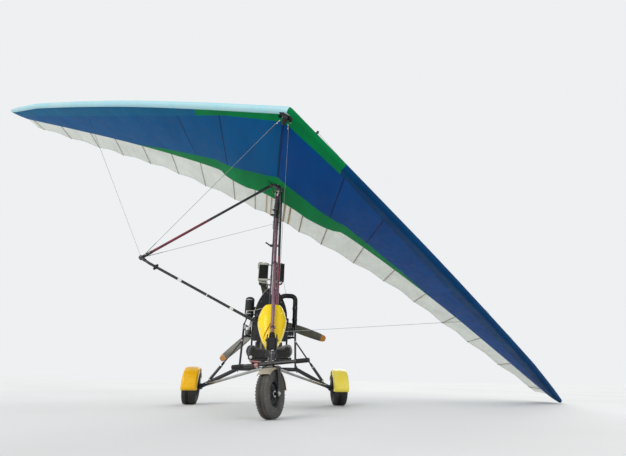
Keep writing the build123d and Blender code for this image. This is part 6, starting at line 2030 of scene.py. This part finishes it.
def build_wing_fittings(m):
    w = Build(WING)
    corner = Vector((0.832, -0.05, -1.535))
    bend = Vector((0.69, -0.135, -1.56))
    top = Vector((0.075, -0.1, -0.062))
    nose = Vector((0.03, -1.29, 0.022))
    k = Build(WING)
    for side in (-1, 1):
        flip = Matrix.Diagonal((side, 1, 1, 1))
        # Knuckle: turned barrel with its pins
        c = corner
        prof = [(-0.0208, 0.0003), (-0.0208, 0.02), (-0.0165, 0.0238), (-0.006, 0.0248), (-0.003, 0.0225)]
        k.lathe(mirrored(prof), m.bracket, 40, flip @ Matrix.Translation(c) @ turned(90, "Z"))
        for s in (-1, 1):
            k.bolt((side * c.x, c.y + s * 0.0208, c.z), (0, s, 0), 0.0095, m.steel_dark)
        # Sleeves on upright and bar, their pins
        up = (top - c).normalized()
        w.tube([c + up * 0.03, c + up * 0.115], 0.0172, m.bracket, 28, flip)
        w.tube([c + up * 0.115, c + up * 0.124], [0.0172, 0.0156], m.bracket, 28, flip)
        w.tube([top - up * 0.16, top - up * 0.02], 0.0168, m.black, 28, flip)
        for d in (0.055, 0.095):
            q = c + up * d
            w.bolt((side * q.x, q.y - 0.0168, q.z), (0, -1, 0), 0.0046, m.bright)
        along = (bend - c).normalized()
        w.tube([c + along * 0.026, c + along * 0.085], 0.0168, m.bracket, 28, flip)
        # Black ring with its knob just past the bar's bend
        q = bend + Vector((-0.085, 0.0, 0.0))
        w.tube([q + Vector((0.013, 0, 0)), q - Vector((0.013, 0, 0))], 0.0225, m.rubber, 32, flip)
        for s, length, end in ((-1, 0.034, 0.0125), (1, 0.032, 0.0115)):
            root, tip = Vector((0, 0.004, 0.018)), Vector((0, 0.006, length))
            w.tube([q + root * s, q + tip * s], [0.0095, end], m.rubber, 18, flip)
        # Apex bolts
        for z in (-0.062, -0.04):
            for s in (-1, 1):
                w.bolt((side * 0.075, -0.1 + s * 0.0095, z - 0.004), (0, s, 0), 0.0058, m.bright)
        # Stay ends
        for far in (nose, Vector((0.023, 1.03, -0.008))):
            start = c + (far - c).normalized() * 0.026
            swage(w, (side * start.x, start.y, start.z), (side * far.x, far.y, far.z), 0.0021, m)
        swage(w, (side * 0.03, -1.285, 0.018), (side * c.x, c.y, c.z), 0.0021, m)
    k.piece("corner_knuckles", "wing", "corner_fittings", slot="dark_bracket", angle=36)

    # Pale tape rings on the base bar
    for x, half in ((-0.31, 0.022), (0.315, 0.02), (0.02, 0.004)):
        w.tube([(x + out, bend.y, bend.z) for out in (-half, 0, half)], 0.0158, m.white_hose, 28)
    # Nose: middle bolt, pale tang with its pin, keel plug
    w.bolt((0, -1.245, 0.0225), (0, 0, -1), 0.011, m.bright)
    for x in (-0.11, 0.11):
        w.bolt((x, -1.21, 0.0225), (0, 0, -1), 0.0085, m.bright)
    w.tube([(0, -1.33, 0), (0, -1.3385, 0)], 0.0215, m.rubber, 28)
    w.tube([(0, -1.329, 0), (0, -1.25, 0), (0, -1.17, 0)], 0.0263, m.rubber, 32)
    w.lathe([(0, 0.0003), (0, 0.0125), (0.004, 0.0135), (0.01, 0.012), (0.013, 0.0003)], m.white_cap, 28,
            moved(0.056, -1.262, 0.0215) @ turned(90, "Y"))
    # Keel end sleeve ring and tail cap
    w.tube([(0, 1.1502, 0), (0, 1.158, 0)], 0.025, m.rubber, 28)
    # Kingpost: base collar with its pins
    w.lathe([(0.0255, 0.016), (0.0255, 0.0215), (0.055, 0.019), (0.055, 0.016)], m.bracket, 30,
            upright(0, 0.114), loop=True)
    for s in (1, -1):
        w.bolt((s * 0.0195, 0.114, 0.042), (s, 0, 0), 0.0042, m.bright)
    w.piece("rigging_fittings", "wing", slot="dark_bracket", angle=38)

    h = Build(BRACKET)
    # Bolts of the hang block's split collar
    for side in (-1, 1):
        for y in (-0.03, 0.03):
            h.bolt((side * 0.0335, y, 0.0), (side, 0, 0), 0.005, m.bright)
    h.piece("hang_block_bolts", "hang_block", slot="hub_metal")
    t = Build(WING)
    # Webbing safety loop from the keel down beside the hang block
    loop = [(0.03, -0.075, 0.012), (0.034, -0.078, -0.02), (0.046, -0.076, -0.06), (0.05, -0.074, -0.098)]
    t.hose(loop, 6, 0.0125, m.white_hose, 12, flat=0.22)
    t.box((0.04, -0.084, -0.12), (0.06, -0.064, -0.094), m.white_cap, 0.003)
    t.piece("keel_strap", "wing", slot="sail_under")


make_camera()
pale_floor()
pale_world()
lamps()
M = solid_materials()
dress_nodes(M)
build_wing_cloth()
build_wheels(M)
build_mudguards(M)
build_steering(M)
build_undercarriage(M)
build_seats(M)
build_panel(M)
build_pod(M)
build_exhaust(M)
build_intake(M)
build_engine_details(M)
build_radiators(M)
build_tank(M)
build_propeller(M)
build_frame_fittings(M)
build_wing_fittings(M)
